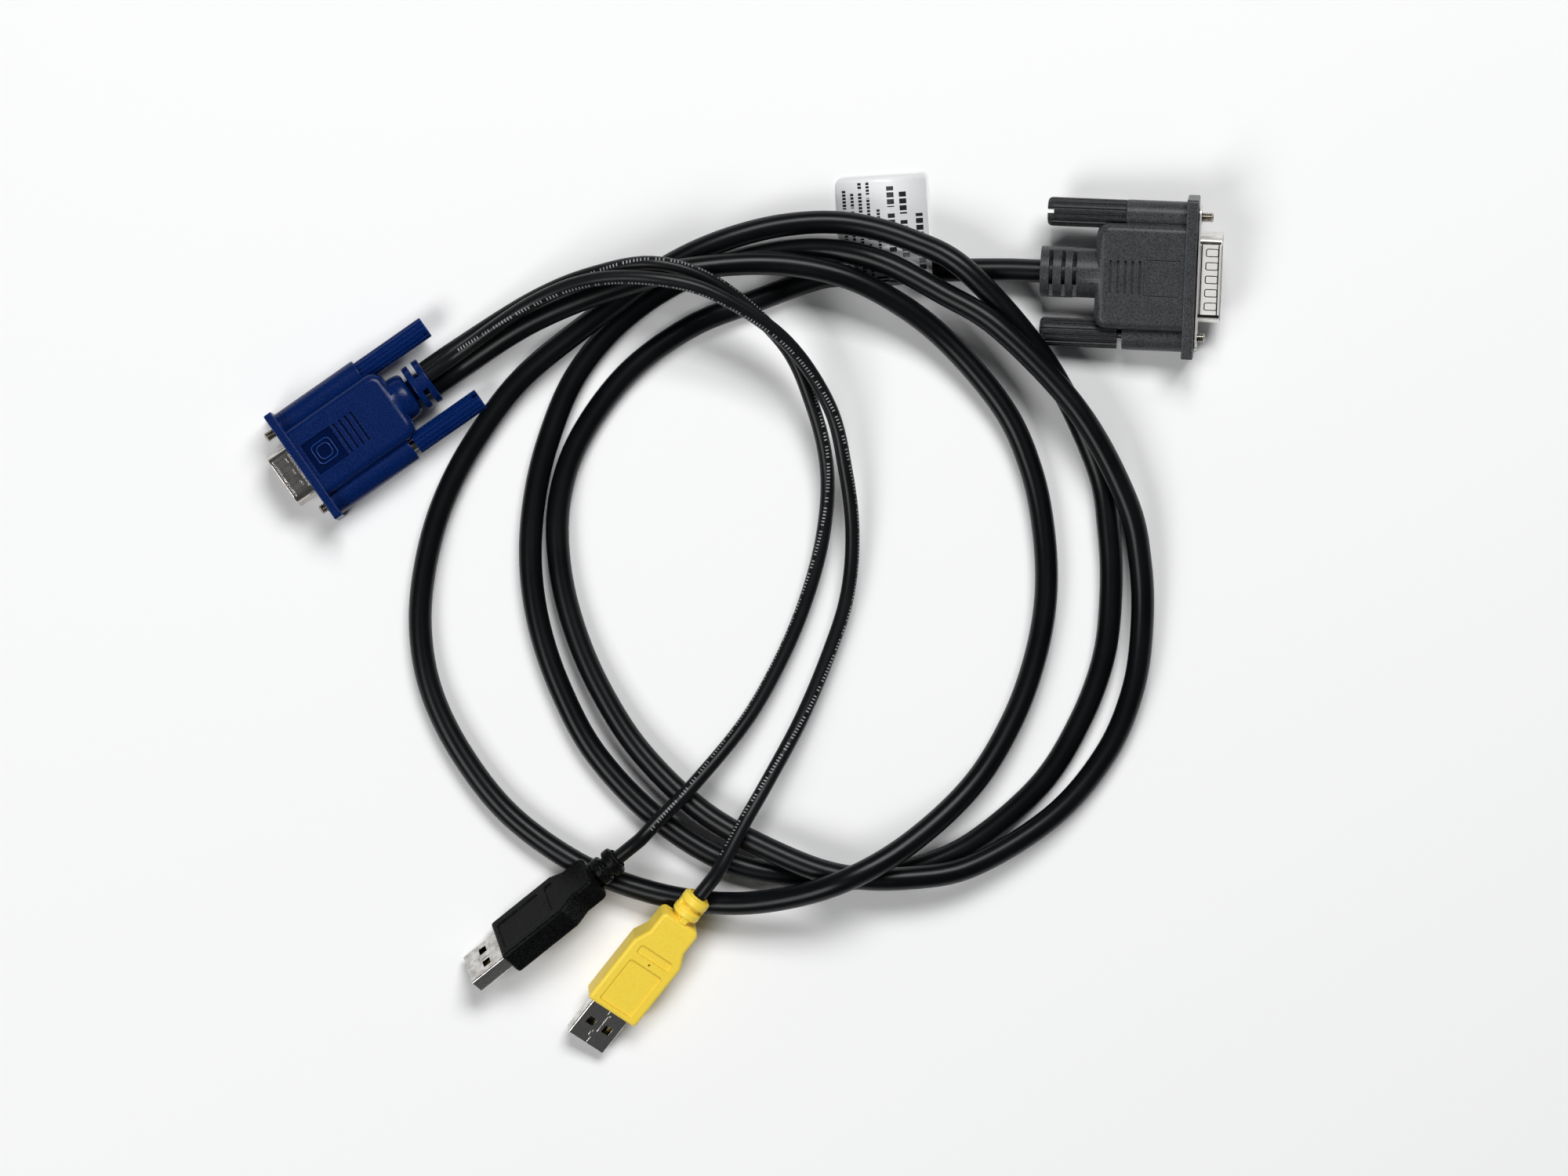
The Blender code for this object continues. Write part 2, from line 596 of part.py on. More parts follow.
def build_shell(name, sizes, carrier, plate_back):
    """Flange plate and D-shaped tube, pressed from one sheet."""
    outer = d_outline(sizes["shell_width"], SHELL_HEIGHT, SHELL_CORNER)
    inner = d_outline(sizes["shell_width"] - 2 * SHELL_WALL, SHELL_HEIGHT - 2 * SHELL_WALL,
                      SHELL_CORNER - SHELL_WALL)
    plate_front = plate_back + PLATE_THICKNESS
    plate_half = sizes["screw_span"] / 2 + sizes["plate_end"]
    mouth = plate_front + SHELL_REACH
    shell = add_object(name, box_mesh(
        name, (plate_back, plate_front), (-plate_half, plate_half),
        (-PLATE_HEIGHT / 2, PLATE_HEIGHT / 2), PLATE_CORNER, "x"), NICKEL, carrier)
    join(shell, outline_mesh(name + "_tube", outer, plate_back + PLATE_THICKNESS / 2, mouth))
    cut(shell, outline_mesh(name + "_mouth", inner, plate_back - OVERRUN, mouth + OVERRUN))
    for side in (-1, 1):
        cut(shell, rod_mesh(name + "_hole", [(
            plate_back - OVERRUN, plate_front + OVERRUN, side * sizes["screw_span"] / 2, 0.0,
            SHAFT_DIAMETER / 2 + FIT_GAP)], SMALL_SIDES))
    for k in range(sizes["dimple_count"]):
        y = (k - (sizes["dimple_count"] - 1) / 2) * DIMPLE_PITCH
        cut(shell, box_mesh(name + "_dimple", (plate_front + DIMPLE_START,
                                               plate_front + DIMPLE_START + DIMPLE_LENGTH),
                            (y - DIMPLE_WIDTH / 2, y + DIMPLE_WIDTH / 2),
                            (SHELL_HEIGHT / 2 - DIMPLE_DEPTH, SHELL_HEIGHT / 2 + OVERRUN)))
    shade_round(shell)
    return mouth


def contact_places(rows):
    """Centres of the contacts; each row is (number of contacts, shift along y, height)."""
    places = []
    for count, shift, z in rows:
        for k in range(count):
            places.append(((k - (count - 1) / 2) * CONTACT_PITCH + shift, z))
    return places


def insulator_outline(sizes):
    around = 2 * (SHELL_WALL + FIT_GAP)
    return d_outline(sizes["shell_width"] - around, SHELL_HEIGHT - around,
                     SHELL_CORNER - SHELL_WALL - FIT_GAP)


def build_insulator(name, sizes, front, places, carrier):
    """A block that fills the shell behind its mouth, with a hole for each contact."""
    block = add_object(name, outline_mesh(
        name, insulator_outline(sizes), -INSULATOR_DEPTH, front), DARK_PLASTIC, carrier)
    for y, z in places:
        cut(block, rod_mesh(name + "_hole", [(
            -INSULATOR_DEPTH - OVERRUN, front + OVERRUN, y, z, CONTACT_DIAMETER / 2 + FINE_GAP)],
            CONTACT_SIDES))


def build_thumbscrews(name, sizes, finish, carrier):
    """Two screws, each a metal shaft in a ribbed plastic knob with a slot across its end."""
    column_end = -sizes["flange_thickness"] - sizes["column_length"]
    outline = ribbed_outline(sizes["knob_diameter"])
    knob_radius = sizes["knob_diameter"] / 2
    shaft_radius = SHAFT_DIAMETER / 2
    for side, label in ((-1, "a"), (1, "b")):
        tip = sizes["tip_" + label]
        axis = bpy.data.objects.new(name + "_axis_" + label, None)
        guides.objects.link(axis)
        axis.parent = carrier
        axis.location = (0.0, side * sizes["screw_span"] / 2, 0.0)
        knob_front = column_end - sizes["gap_" + label]
        knob_rear = knob_front - sizes["knob_length"]
        shaft_end = knob_front - SHAFT_IN_KNOB
        shaft = turned_mesh(name + "_shaft_" + label, [
            (tip, SHAFT_TIP_DIAMETER / 2), (tip - SHAFT_POINT, shaft_radius),
            (shaft_end, shaft_radius)], SMALL_SIDES)
        shade_round(add_object(name + "_shaft_" + label, shaft, STEEL, axis))

        knob = add_object(name + "_knob_" + label, outline_mesh(
            name + "_knob_" + label, outline, knob_rear, knob_front), finish, axis)
        round_start = knob_rear + 2 * KNOB_END_ROUND
        trim = turned_mesh(name + "_knob_trim_" + label, [
            (knob_front + OVERRUN, knob_radius + OVERRUN),
            (round_start, knob_radius + OVERRUN), (round_start, knob_radius + FINE_GAP),
            (knob_rear + KNOB_END_ROUND, knob_radius - KNOB_END_STEP),
            (knob_rear - FINE_GAP, knob_radius - KNOB_END_ROUND)], FINE_SIDES)
        boolean(knob, add_object(trim.name, trim, parent=axis), "INTERSECT")
        cut(knob, rod_mesh(name + "_knob_bore_" + label, [(
            shaft_end - FIT_GAP, knob_front + OVERRUN, 0.0, 0.0, shaft_radius + FINE_GAP)],
            SMALL_SIDES))
        cut(knob, box_mesh(name + "_knob_slot_" + label,
                           (knob_rear - OVERRUN, knob_rear + KNOB_SLOT_DEPTH),
                           (-KNOB_SLOT_WIDTH / 2, KNOB_SLOT_WIDTH / 2),
                           (-sizes["knob_diameter"], sizes["knob_diameter"])))


# USB plug pieces. The plug's frame has x out of the front, y across and z up,
# with its origin in the middle of the overmould's front face.
def build_usb_plug(name, finish, carrier):
    body = add_object(name + "_overmould", box_mesh(
        name + "_overmould", (-USB_BODY_LENGTH, 0.0), (-USB_BODY_WIDTH / 2, USB_BODY_WIDTH / 2),
        (-USB_BODY_HEIGHT / 2, USB_BODY_HEIGHT / 2)), finish, carrier)
    bm = bmesh.new()
    bm.from_mesh(body.data)
    shoulder = [e for e in bm.edges if all(v.co.x < -USB_BODY_LENGTH / 2 for v in e.verts)
                and abs(e.verts[0].co.z - e.verts[1].co.z) > FINE_GAP]
    bmesh.ops.bevel(bm, geom=shoulder, offset=USB_SHOULDER, segments=1, affect="EDGES")
    long_edges = [e for e in bm.edges if abs(e.verts[0].co.x - e.verts[1].co.x) > USB_BODY_LENGTH / 2]
    bmesh.ops.bevel(bm, geom=long_edges, offset=USB_BODY_EDGE, segments=2, profile=0.5, affect="EDGES")
    bmesh.ops.recalc_face_normals(bm, faces=bm.faces)
    bm.to_mesh(body.data)
    bm.free()

    rear_end = -USB_BODY_LENGTH - USB_REAR_LENGTH
    join(body, box_mesh(name + "_rear", (rear_end, -USB_BODY_LENGTH + USB_SHOULDER),
                        (-USB_REAR_WIDTH / 2, USB_REAR_WIDTH / 2),
                        (-USB_REAR_HEIGHT / 2, USB_REAR_HEIGHT / 2), USB_BODY_EDGE, "x"))
    free_end = rear_end - USB_RELIEF_LENGTH
    neck = USB_NECK_DIAMETER / 2
    disc = USB_DISC_DIAMETER / 2
    gap = (USB_RELIEF_LENGTH - 2 * USB_DISC_LENGTH) / 3
    profile = [(rear_end + OVERRUN, neck)]
    x = rear_end - gap
    for _ in range(2):
        profile += [(x, neck), (x, disc), (x - USB_DISC_LENGTH, disc), (x - USB_DISC_LENGTH, neck)]
        x -= USB_DISC_LENGTH + gap
    profile.append((free_end, neck))
    join(body, turned_mesh(name + "_relief", profile, FINE_SIDES))

    # Recessed panel and bar on both broad faces, and the pocket of the metal shell
    for side in (-1, 1):
        face = side * USB_BODY_HEIGHT / 2
        depth = sorted((face - side * USB_PANEL_DEPTH, face + side * OVERRUN))
        panel_rear = -USB_PANEL_FRONT - USB_PANEL_LENGTH
        cut(body, box_mesh(name + "_panel", (panel_rear, -USB_PANEL_FRONT),
                           (-USB_PANEL_WIDTH / 2, USB_PANEL_WIDTH / 2), depth))
        bar_front = -USB_BODY_LENGTH + USB_BAR_BACK
        cut(body, box_mesh(name + "_bar", (bar_front - USB_BAR_LENGTH, bar_front),
                           (-USB_BAR_WIDTH / 2, USB_BAR_WIDTH / 2), depth))
    cut(body, box_mesh(name + "_pocket", (-USB_SHELL_SEAT - FIT_GAP, OVERRUN),
                       (-USB_SHELL_WIDTH / 2 - FIT_GAP, USB_SHELL_WIDTH / 2 + FIT_GAP),
                       (-USB_SHELL_HEIGHT / 2 - FIT_GAP, USB_SHELL_HEIGHT / 2 + FIT_GAP)))
    shade_round(body)

    # Metal shell: a folded rectangular tube with two windows in each broad face
    shell = add_object(name + "_shell", box_mesh(
        name + "_shell", (-USB_SHELL_SEAT, USB_SHELL_REACH),
        (-USB_SHELL_WIDTH / 2, USB_SHELL_WIDTH / 2), (-USB_SHELL_HEIGHT / 2, USB_SHELL_HEIGHT / 2),
        USB_SHELL_CORNER, "x"), NICKEL, carrier)
    inner_y = USB_SHELL_WIDTH / 2 - USB_SHELL_WALL
    inner_z = USB_SHELL_HEIGHT / 2 - USB_SHELL_WALL
    cut(shell, box_mesh(name + "_cavity", (-USB_SHELL_SEAT - OVERRUN, USB_SHELL_REACH + OVERRUN),
                        (-inner_y, inner_y), (-inner_z, inner_z)))
    window_front = USB_SHELL_REACH - USB_WINDOW_BACK + USB_WINDOW / 2
    for side in (-1, 1):
        y = side * USB_WINDOW_SPAN / 2
        cut(shell, box_mesh(name + "_window", (window_front - USB_WINDOW, window_front),
                            (y - USB_WINDOW / 2, y + USB_WINDOW / 2),
                            (-USB_SHELL_HEIGHT, USB_SHELL_HEIGHT)))
    shade_round(shell)

    # Tongue on the lower side of the shell, with four contact strips on it
    tongue_top = -inner_z + FIT_GAP + USB_TONGUE_HEIGHT
    add_object(name + "_tongue", box_mesh(
        name + "_tongue", (-USB_SHELL_SEAT, USB_SHELL_REACH - USB_TONGUE_INSET),
        (-inner_y + FIT_GAP, inner_y - FIT_GAP), (-inner_z + FIT_GAP, tongue_top)),
        WHITE_PLASTIC if finish is YELLOW else DARK_PLASTIC, carrier)
    front = USB_SHELL_REACH - USB_TONGUE_INSET - USB_CONTACT_INSET
    for number, y in enumerate(USB_CONTACT_OFFSETS, start=1):
        add_object("%s_contact_%d" % (name, number), box_mesh(
            name + "_contact", (front - USB_CONTACT_LENGTH, front),
            (y - USB_CONTACT_WIDTH / 2, y + USB_CONTACT_WIDTH / 2),
            (tongue_top + FINE_GAP, tongue_top + FINE_GAP + USB_CONTACT_HEIGHT)), GOLD, carrier)
    return free_end


# Cables
def smooth_route(points, stations):
    """The straight lead at each end, and between them even stations on the smooth curve
    that passes through the given points."""
    fine = []
    steps = 16
    for a, b, c, d in zip(points, points[1:], points[2:], points[3:]):
        for k in range(steps):
            t = k / steps
            fine.append((2 * b + (c - a) * t + (2 * a - 5 * b + 4 * c - d) * t ** 2
                         + (3 * b - a - 3 * c + d) * t ** 3) / 2)
    fine.append(points[-2])
    lengths = [0.0]
    for first, second in zip(fine, fine[1:]):
        lengths.append(lengths[-1] + (second - first).length)
    route = [points[0]]
    place = 0
    inner = stations - 2
    for k in range(inner):
        target = lengths[-1] * k / (inner - 1)
        while place < len(lengths) - 2 and lengths[place + 1] < target:
            place += 1
        share = (target - lengths[place]) / (lengths[place + 1] - lengths[place])
        route.append(fine[place].lerp(fine[place + 1], share))
    route.append(points[-1])
    return route


def build_cable(name, diameter, points, stations, roundness):
    curve = bpy.data.curves.new(name, "CURVE")
    curve.dimensions = "3D"
    curve.bevel_depth = diameter / 2
    curve.bevel_resolution = roundness
    curve.use_fill_caps = True
    route = smooth_route(points, stations)
    spline = curve.splines.new("POLY")
    spline.points.add(len(route) - 1)
    for point, place in zip(spline.points, route):
        point.co = (*place, 1.0)
    mesh = finished_mesh(bpy.data.objects.new(name, curve), name)
    shade_round(add_object(name, mesh, JACKET), CABLE_SMOOTH_ANGLE)


def cable_points(start, route, end):
    """Straight out of the first strain relief, along the route, straight into the second."""
    first, (first_y, first_z), first_face = start
    last, (last_y, last_z), last_face = end
    return [first @ Vector((first_face - FIT_GAP, first_y, first_z)),
            first @ Vector((first_face - LEAD_OUT, first_y, first_z)),
            *(Vector(point) * MM + ORIGIN_SHIFT for point in route),
            last @ Vector((last_face - LEAD_OUT, last_y, last_z)),
            last @ Vector((last_face - FIT_GAP, last_y, last_z))]


def build_label():
    """A sheet folded round the cable, its two halves stuck together as a flag."""
    loop_outer = LABEL_LOOP / 2 + LABEL_THICKNESS
    floor = LABEL_FLOOR - LABEL_CENTRE.z
    inner = []
    outer = []
    wrap_start, wrap_end = LABEL_WRAP
    for k in range(FINE_SIDES):
        angle = 2 * math.pi * k / FINE_SIDES
        inner.append((LABEL_LOOP / 2 * math.cos(angle), LABEL_LOOP / 2 * math.sin(angle)))
        angle = wrap_start + (wrap_end - wrap_start) * k / (FINE_SIDES - 1)
        outer.append((loop_outer * math.cos(angle), loop_outer * math.sin(angle)))
    run_out_top, run_out_bottom = LABEL_RUN_OUT
    flap = [(outer[-1][0] + run_out_bottom, floor), (LABEL_REACH, floor),
            (LABEL_REACH, floor + LABEL_THICKNESS),
            (outer[0][0] + run_out_top, floor + LABEL_THICKNESS)]
    mesh = outline_mesh("flag_label", outer + flap, -LABEL_WIDTH / 2, LABEL_WIDTH / 2, (inner,))
    label = add_object("flag_label", mesh, LABEL_WHITE)
    label.matrix_world = (Matrix.Translation(LABEL_CENTRE + ORIGIN_SHIFT)
                          @ Matrix.Rotation(LABEL_TURN, 4, "Z"))


# Blue DE plug
blue = add_carrier("blue_plug", BLUE_PLACE, BLUE_ANGLES)
build_hood("blue_hood", DE_PLUG, BLUE, blue, "dome")
blue_mouth = build_shell("blue_front_shell", DE_PLUG, blue, -PLATE_THICKNESS)
blue_places = contact_places(((5, CONTACT_PITCH / 4, -CONTACT_ROW), (5, -CONTACT_PITCH / 4, 0.0),
                              (5, CONTACT_PITCH / 4, CONTACT_ROW)))
build_insulator("blue_insulator", DE_PLUG, INSULATOR_STEP, blue_places, blue)
for number, (y, z) in enumerate(blue_places, start=1):
    add_object("blue_contact_%02d" % number, rod_mesh("blue_contact", [(
        -CONTACT_TAIL, blue_mouth - CONTACT_INSET, y, z, CONTACT_DIAMETER / 2)],
        CONTACT_SIDES), GOLD, blue)
build_thumbscrews("blue", DE_PLUG, BLUE, blue)
blue_matrix = settle(blue)

# Charcoal DA plug, whose contacts stand on one plate behind the insulator
black = add_carrier("black_plug", BLACK_PLACE, BLACK_ANGLES)
build_hood("black_hood", DA_PLUG, CHARCOAL, black, "rings")
black_mouth = build_shell("black_front_shell", DA_PLUG, black, FIT_GAP)
black_places = contact_places(((9, 0.0, -CONTACT_ROW), (9, CONTACT_PITCH / 2, 0.0),
                               (8, CONTACT_PITCH / 2, CONTACT_ROW)))
build_insulator("black_insulator", DA_PLUG, PLATE_THICKNESS + FIT_GAP + INSULATOR_STEP,
                black_places, black)
plate_front = -INSULATOR_DEPTH - FIT_GAP
black_contacts = add_object("black_contacts", outline_mesh(
    "black_contacts", insulator_outline(DA_PLUG), plate_front - CONTACT_PLATE, plate_front),
    GOLD, black)
for y, z in black_places:
    join(black_contacts, rod_mesh("black_contact", [(
        plate_front - CONTACT_PLATE / 2, black_mouth - CONTACT_INSET, y, z, CONTACT_DIAMETER / 2)],
        CONTACT_SIDES))
build_thumbscrews("black", DA_PLUG, CHARCOAL, black)
black_matrix = settle(black)

# USB plugs
usb_black = add_carrier("usb_black", USB_BLACK_PLACE, USB_BLACK_ANGLES)
usb_face = build_usb_plug("usb_black", CHARCOAL, usb_black)
usb_black_matrix = settle(usb_black)
usb_yellow = add_carrier("usb_yellow", USB_YELLOW_PLACE, USB_YELLOW_ANGLES)
build_usb_plug("usb_yellow", YELLOW, usb_yellow)
usb_yellow_matrix = settle(usb_yellow)

# Cables and label
blue_face = -DE_PLUG["flange_thickness"] - DE_PLUG["body_length"] - DE_PLUG["relief_length"]
black_face = -DA_PLUG["flange_thickness"] - DA_PLUG["body_length"] - DA_PLUG["relief_length"]
build_cable("main_cable", MAIN_DIAMETER, cable_points(
    (blue_matrix, BLUE_EXIT_MAIN, blue_face), MAIN_ROUTE,
    (black_matrix, (0.0, 0.0), black_face)), MAIN_STATIONS, MAIN_ROUNDNESS)
build_cable("usb_black_cable", USB_CABLE_DIAMETER, cable_points(
    (blue_matrix, BLUE_EXIT_USB_BLACK, blue_face), USB_BLACK_ROUTE,
    (usb_black_matrix, (0.0, 0.0), usb_face)), USB_STATIONS, USB_ROUNDNESS)
build_cable("usb_yellow_cable", USB_CABLE_DIAMETER, cable_points(
    (blue_matrix, BLUE_EXIT_USB_YELLOW, blue_face), USB_YELLOW_ROUTE,
    (usb_yellow_matrix, (0.0, 0.0), usb_face)), USB_STATIONS, USB_ROUNDNESS)
build_label()
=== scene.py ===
import json
import math

import bmesh
import bpy
from mathutils import Matrix, Vector


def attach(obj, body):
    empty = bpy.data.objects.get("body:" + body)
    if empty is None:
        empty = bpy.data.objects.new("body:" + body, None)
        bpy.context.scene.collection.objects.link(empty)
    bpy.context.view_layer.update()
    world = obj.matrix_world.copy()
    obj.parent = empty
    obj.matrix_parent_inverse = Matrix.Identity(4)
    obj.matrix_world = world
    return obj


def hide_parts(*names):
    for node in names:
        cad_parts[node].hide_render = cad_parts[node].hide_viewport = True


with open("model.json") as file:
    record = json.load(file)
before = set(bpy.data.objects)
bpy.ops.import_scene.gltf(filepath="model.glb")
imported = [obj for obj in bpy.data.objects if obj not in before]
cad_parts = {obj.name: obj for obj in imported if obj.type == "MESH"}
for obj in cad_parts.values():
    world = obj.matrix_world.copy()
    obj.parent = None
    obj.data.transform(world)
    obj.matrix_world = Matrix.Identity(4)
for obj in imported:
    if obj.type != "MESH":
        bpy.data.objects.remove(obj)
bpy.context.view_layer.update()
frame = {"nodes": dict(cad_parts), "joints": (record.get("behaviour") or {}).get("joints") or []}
nodes = frame["nodes"]
MM = 0.001


# Camera, table and studio light. The cable set lies on a white table and is seen from
# straight above through a long lens. A soft lamp hangs beyond the top of the picture, a
# weaker one to the lower left, and the dim room overhead leaves flat tops dark.
PHOTO_WIDTH_METRES = 2000 / 4600
CAMERA_PLACE = (11.2 * MM, 10.1 * MM)
CAMERA_HEIGHT = 1.5
SENSOR_WIDTH = 36.0
TABLE_SIZE = 6.0


def in_scene(name, data):
    """A new object with this data, linked into the scene."""
    thing = bpy.data.objects.new(name, data)
    bpy.context.scene.collection.objects.link(thing)
    return thing


def as_mesh(name, shape):
    """A finished shape as a mesh. The shape itself is used up."""
    mesh = bpy.data.meshes.new(name)
    shape.to_mesh(mesh)
    shape.free()
    return mesh


camera = in_scene("camera", bpy.data.cameras.new("camera"))
camera.location = (*CAMERA_PLACE, CAMERA_HEIGHT)
camera.data.sensor_width = SENSOR_WIDTH
camera.data.lens = SENSOR_WIDTH * CAMERA_HEIGHT / PHOTO_WIDTH_METRES
camera.data.clip_end = 20.0
bpy.context.scene.camera = camera
bpy.context.scene.view_settings.view_transform = "Standard"

bm = bmesh.new()
bmesh.ops.create_grid(bm, x_segments=1, y_segments=1, size=TABLE_SIZE / 2)
table = in_scene("table", as_mesh("table", bm))

table_paint = bpy.data.materials.new("white_table")
table_paint.use_nodes = True
shader = table_paint.node_tree.nodes["Principled BSDF"]
shader.inputs["Base Color"].default_value = (0.93, 0.932, 0.935, 1.0)
shader.inputs["Roughness"].default_value = 0.75
table.data.materials.append(table_paint)


def hang_lamp(name, place, size, power):
    """A square soft lamp that points at the middle of the table."""
    light = bpy.data.lights.new(name, "AREA")
    light.shape = "RECTANGLE"
    light.size, light.size_y = size
    light.energy = power
    lamp = in_scene(name, light)
    lamp.location = place
    lamp.rotation_euler = Vector(place).to_track_quat("Z", "Y").to_euler()


hang_lamp("top_lamp", (0.32, 1.08, 1.6), (1.1, 0.7), 29.8)
hang_lamp("left_lamp", (-0.95, -0.80, 1.5), (0.9, 0.9), 18.0)

world = bpy.data.worlds.new("white_room")
bpy.context.scene.world = world
world.use_nodes = True
room = world.node_tree
room_light = room.nodes["Background"]
ray = room.nodes.new("ShaderNodeTexCoord")
height = room.nodes.new("ShaderNodeSeparateXYZ")
walls = room.nodes.new("ShaderNodeValToRGB")
low_wall, high_wall = walls.color_ramp.elements
low_wall.color = (0.40, 0.41, 0.42, 1.0)
high_wall.position = 0.12
high_wall.color = (0.055, 0.057, 0.06, 1.0)
room.links.new(ray.outputs["Generated"], height.inputs["Vector"])
room.links.new(height.outputs["Z"], walls.inputs["Fac"])
room.links.new(walls.outputs["Color"], room_light.inputs["Color"])


# Thick cable: a round jacket of black satin PVC over the video and keyboard lines. It
# leaves the blue plug, lies coiled two and a half times, and goes into the charcoal plug.
def mm(*sizes):
    """Sizes in millimetres, as metres."""
    return tuple(size * MM for size in sizes)


MAIN_DIAMETER = 6.4 * MM
LEAD_OUT = 8.0 * MM
END_GAP = 0.05 * MM
ORIGIN_SHIFT = Vector(mm(-0.418, 0.229, 0.0))
JACKET_STEP = 2.4 * MM
CURVE_STEPS = 16
JACKET_SIDES = 24
DE_FACE = -43.3 * MM
DA_FACE = -42.8 * MM
DE_EXIT_MAIN = mm(2.2, -2.0)
MAIN_ROUTE = (
    (-59, 82.5, 11.2), (-38.5, 91, 15.8), (-19, 96.5, 17.4), (3, 99, 15.2), (21.5, 97.3, 14.2),
    (37.5, 91.5, 11.6), (55, 79.5, 7), (72, 60, 4.8), (80, 42.5, 4), (83.5, 25, 3.8),
    (84, 7.5, 4.2), (81, -9.5, 5), (74.5, -27, 6.6), (63.5, -44.5, 9.6), (46.5, -60, 14.4),
    (29, -70, 18.3), (11.5, -75.5, 13), (-6, -77, 9), (-25.5, -74, 6), (-45, -66.5, 4.4),
    (-64, -53, 3.7), (-77.5, -36, 3.6), (-86, -18.5, 3.4), (-89, -1, 3.4), (-87.5, 16.5, 3.6),
    (-82.5, 34, 3.8), (-73.5, 51, 4.6), (-60, 68.5, 6), (-39.5, 85, 9.2), (-22, 97.5, 10.2),
    (-6, 105.2, 10.6), (11.5, 109.8, 10), (29, 110.3, 10), (46.5, 105.6, 11.4), (62.5, 96.5, 13.2),
    (84, 72, 7.6), (98, 44, 4.4), (101.5, 25, 3.8), (102, 7.5, 3.4), (100, -9.5, 3.4),
    (93.5, -27, 3.4), (82.5, -44.5, 3.4), (64, -60.5, 3.4), (48, -67.5, 3.4), (31, -70.5, 3.4),
    (11.5, -69.5, 3.4), (-6, -65, 3.4), (-24.5, -53, 3.4), (-40.5, -36, 3.4), (-50, -18.5, 3.4),
    (-56, -1, 3.4), (-58.5, 16.5, 3.4), (-57.5, 34, 3.4), (-53.5, 51, 3.4), (-46, 68.5, 3.4),
    (-33.5, 83.5, 3.8), (-17.5, 94.5, 4.6), (1, 101, 6), (20.5, 103.2, 9.1), (37.5, 100, 12.8),
    (55, 91, 14), (71, 81, 15.2), (92.5, 58.5, 13), (106, 34, 9.2), (110, 16.5, 7),
    (110.5, -1, 5.4), (108, -18.5, 4.8), (100.5, -36, 4.8), (86, -53, 6.2), (64, -66.5, 8.8),
    (46.5, -70, 10.4), (28.5, -69.5, 10.6), (11.5, -64, 9), (-10, -52.5, 6.2), (-27.5, -36, 4.6),
    (-39, -18.5, 3.8), (-46.5, -1, 3.4), (-50.5, 16.5, 3.4), (-50.5, 34, 3.4), (-45, 51, 3.4),
    (-32, 69, 3.4), (-14.5, 82, 3.4), (3, 89, 3.6), (20.5, 95.3, 4.6), (30, 96.4, 4.8),
    (48, 97.6, 5), (60, 97.7, 5.8),
)


def plug_frame(plug):
    """A D plug's own frame, from its two thumbscrews: x out of its front, y across, z up."""
    joints = {joint["name"]: joint for joint in frame["joints"]}
    one, other = (joints[f"{plug}_screw_{label}_turn"] for label in "ab")
    first, second = Vector(one["pos_m"]), Vector(other["pos_m"])
    out = Vector(one["axis"]).normalized()
    across = (second - first).normalized()
    up = out.cross(across).normalized()
    placing = Matrix((out, across, up)).transposed().to_4x4()
    placing.translation = (first + second) / 2
    return placing


blue_plug = plug_frame("blue")
black_plug = plug_frame("black")


def cable_line(start, route, end):
    """Straight out of the first strain relief, along the route, straight into the second,
    as points a short step apart on one smooth curve, in metres."""
    first, (first_y, first_z), first_face = start
    last, last_face = end
    knots = [first @ Vector((first_face - END_GAP, first_y, first_z)),
             first @ Vector((first_face - LEAD_OUT, first_y, first_z)),
             *(Vector(point) * MM + ORIGIN_SHIFT for point in route),
             last @ Vector((last_face - LEAD_OUT, 0.0, 0.0)),
             last @ Vector((last_face - END_GAP, 0.0, 0.0))]
    fine = []
    for a, b, c, d in zip(knots, knots[1:], knots[2:], knots[3:]):
        for k in range(CURVE_STEPS):
            t = k / CURVE_STEPS
            fine.append((2 * b + (c - a) * t + (2 * a - 5 * b + 4 * c - d) * t ** 2
                         + (3 * b - a - 3 * c + d) * t ** 3) / 2)
    fine.append(knots[-2])
    line = [knots[0], knots[0].lerp(knots[1], 0.5)]
    travelled = 0.0
    wanted = 0.0
    for here, there in zip(fine, fine[1:]):
        stretch = (there - here).length
        while travelled + stretch > wanted:
            line.append(here.lerp(there, (wanted - travelled) / stretch))
            wanted += JACKET_STEP
        travelled += stretch
    if (line[-1] - knots[-2]).length < JACKET_STEP / 2:
        line.pop()
    return line + [knots[-2], knots[-2].lerp(knots[-1], 0.5), knots[-1]]


def start_material(name):
    """A new material, its node tree, its shader and its place in the object's own frame."""
    material = bpy.data.materials.new(name)
    material.use_nodes = True
    tree = material.node_tree
    place = tree.nodes.new("ShaderNodeTexCoord").outputs["Object"]
    return material, tree, tree.nodes["Principled BSDF"], place


def set_inputs(node, values):
    """Set a node's inputs: each takes a plain value, or a link from another node's output."""
    for name, value in values.items():
        if isinstance(value, bpy.types.NodeSocket):
            node.id_data.links.new(value, node.inputs[name])
        else:
            node.inputs[name].default_value = value
    return node


def add_node(tree, kind, output, values):
    """One output of a new node whose inputs are set."""
    return set_inputs(tree.nodes.new(kind), values).outputs[output]


def noise(place, **inputs):
    """The value of a noise texture."""
    return add_node(place.id_data, "ShaderNodeTexNoise", "Fac", {"Vector": place, **inputs})


def remap(value, before, after):
    """A value whose range (low, high) before becomes another range after."""
    return add_node(value.id_data, "ShaderNodeMapRange", "Result",
                    {"Value": value, "From Min": before[0], "From Max": before[1],
                     "To Min": after[0], "To Max": after[1]})


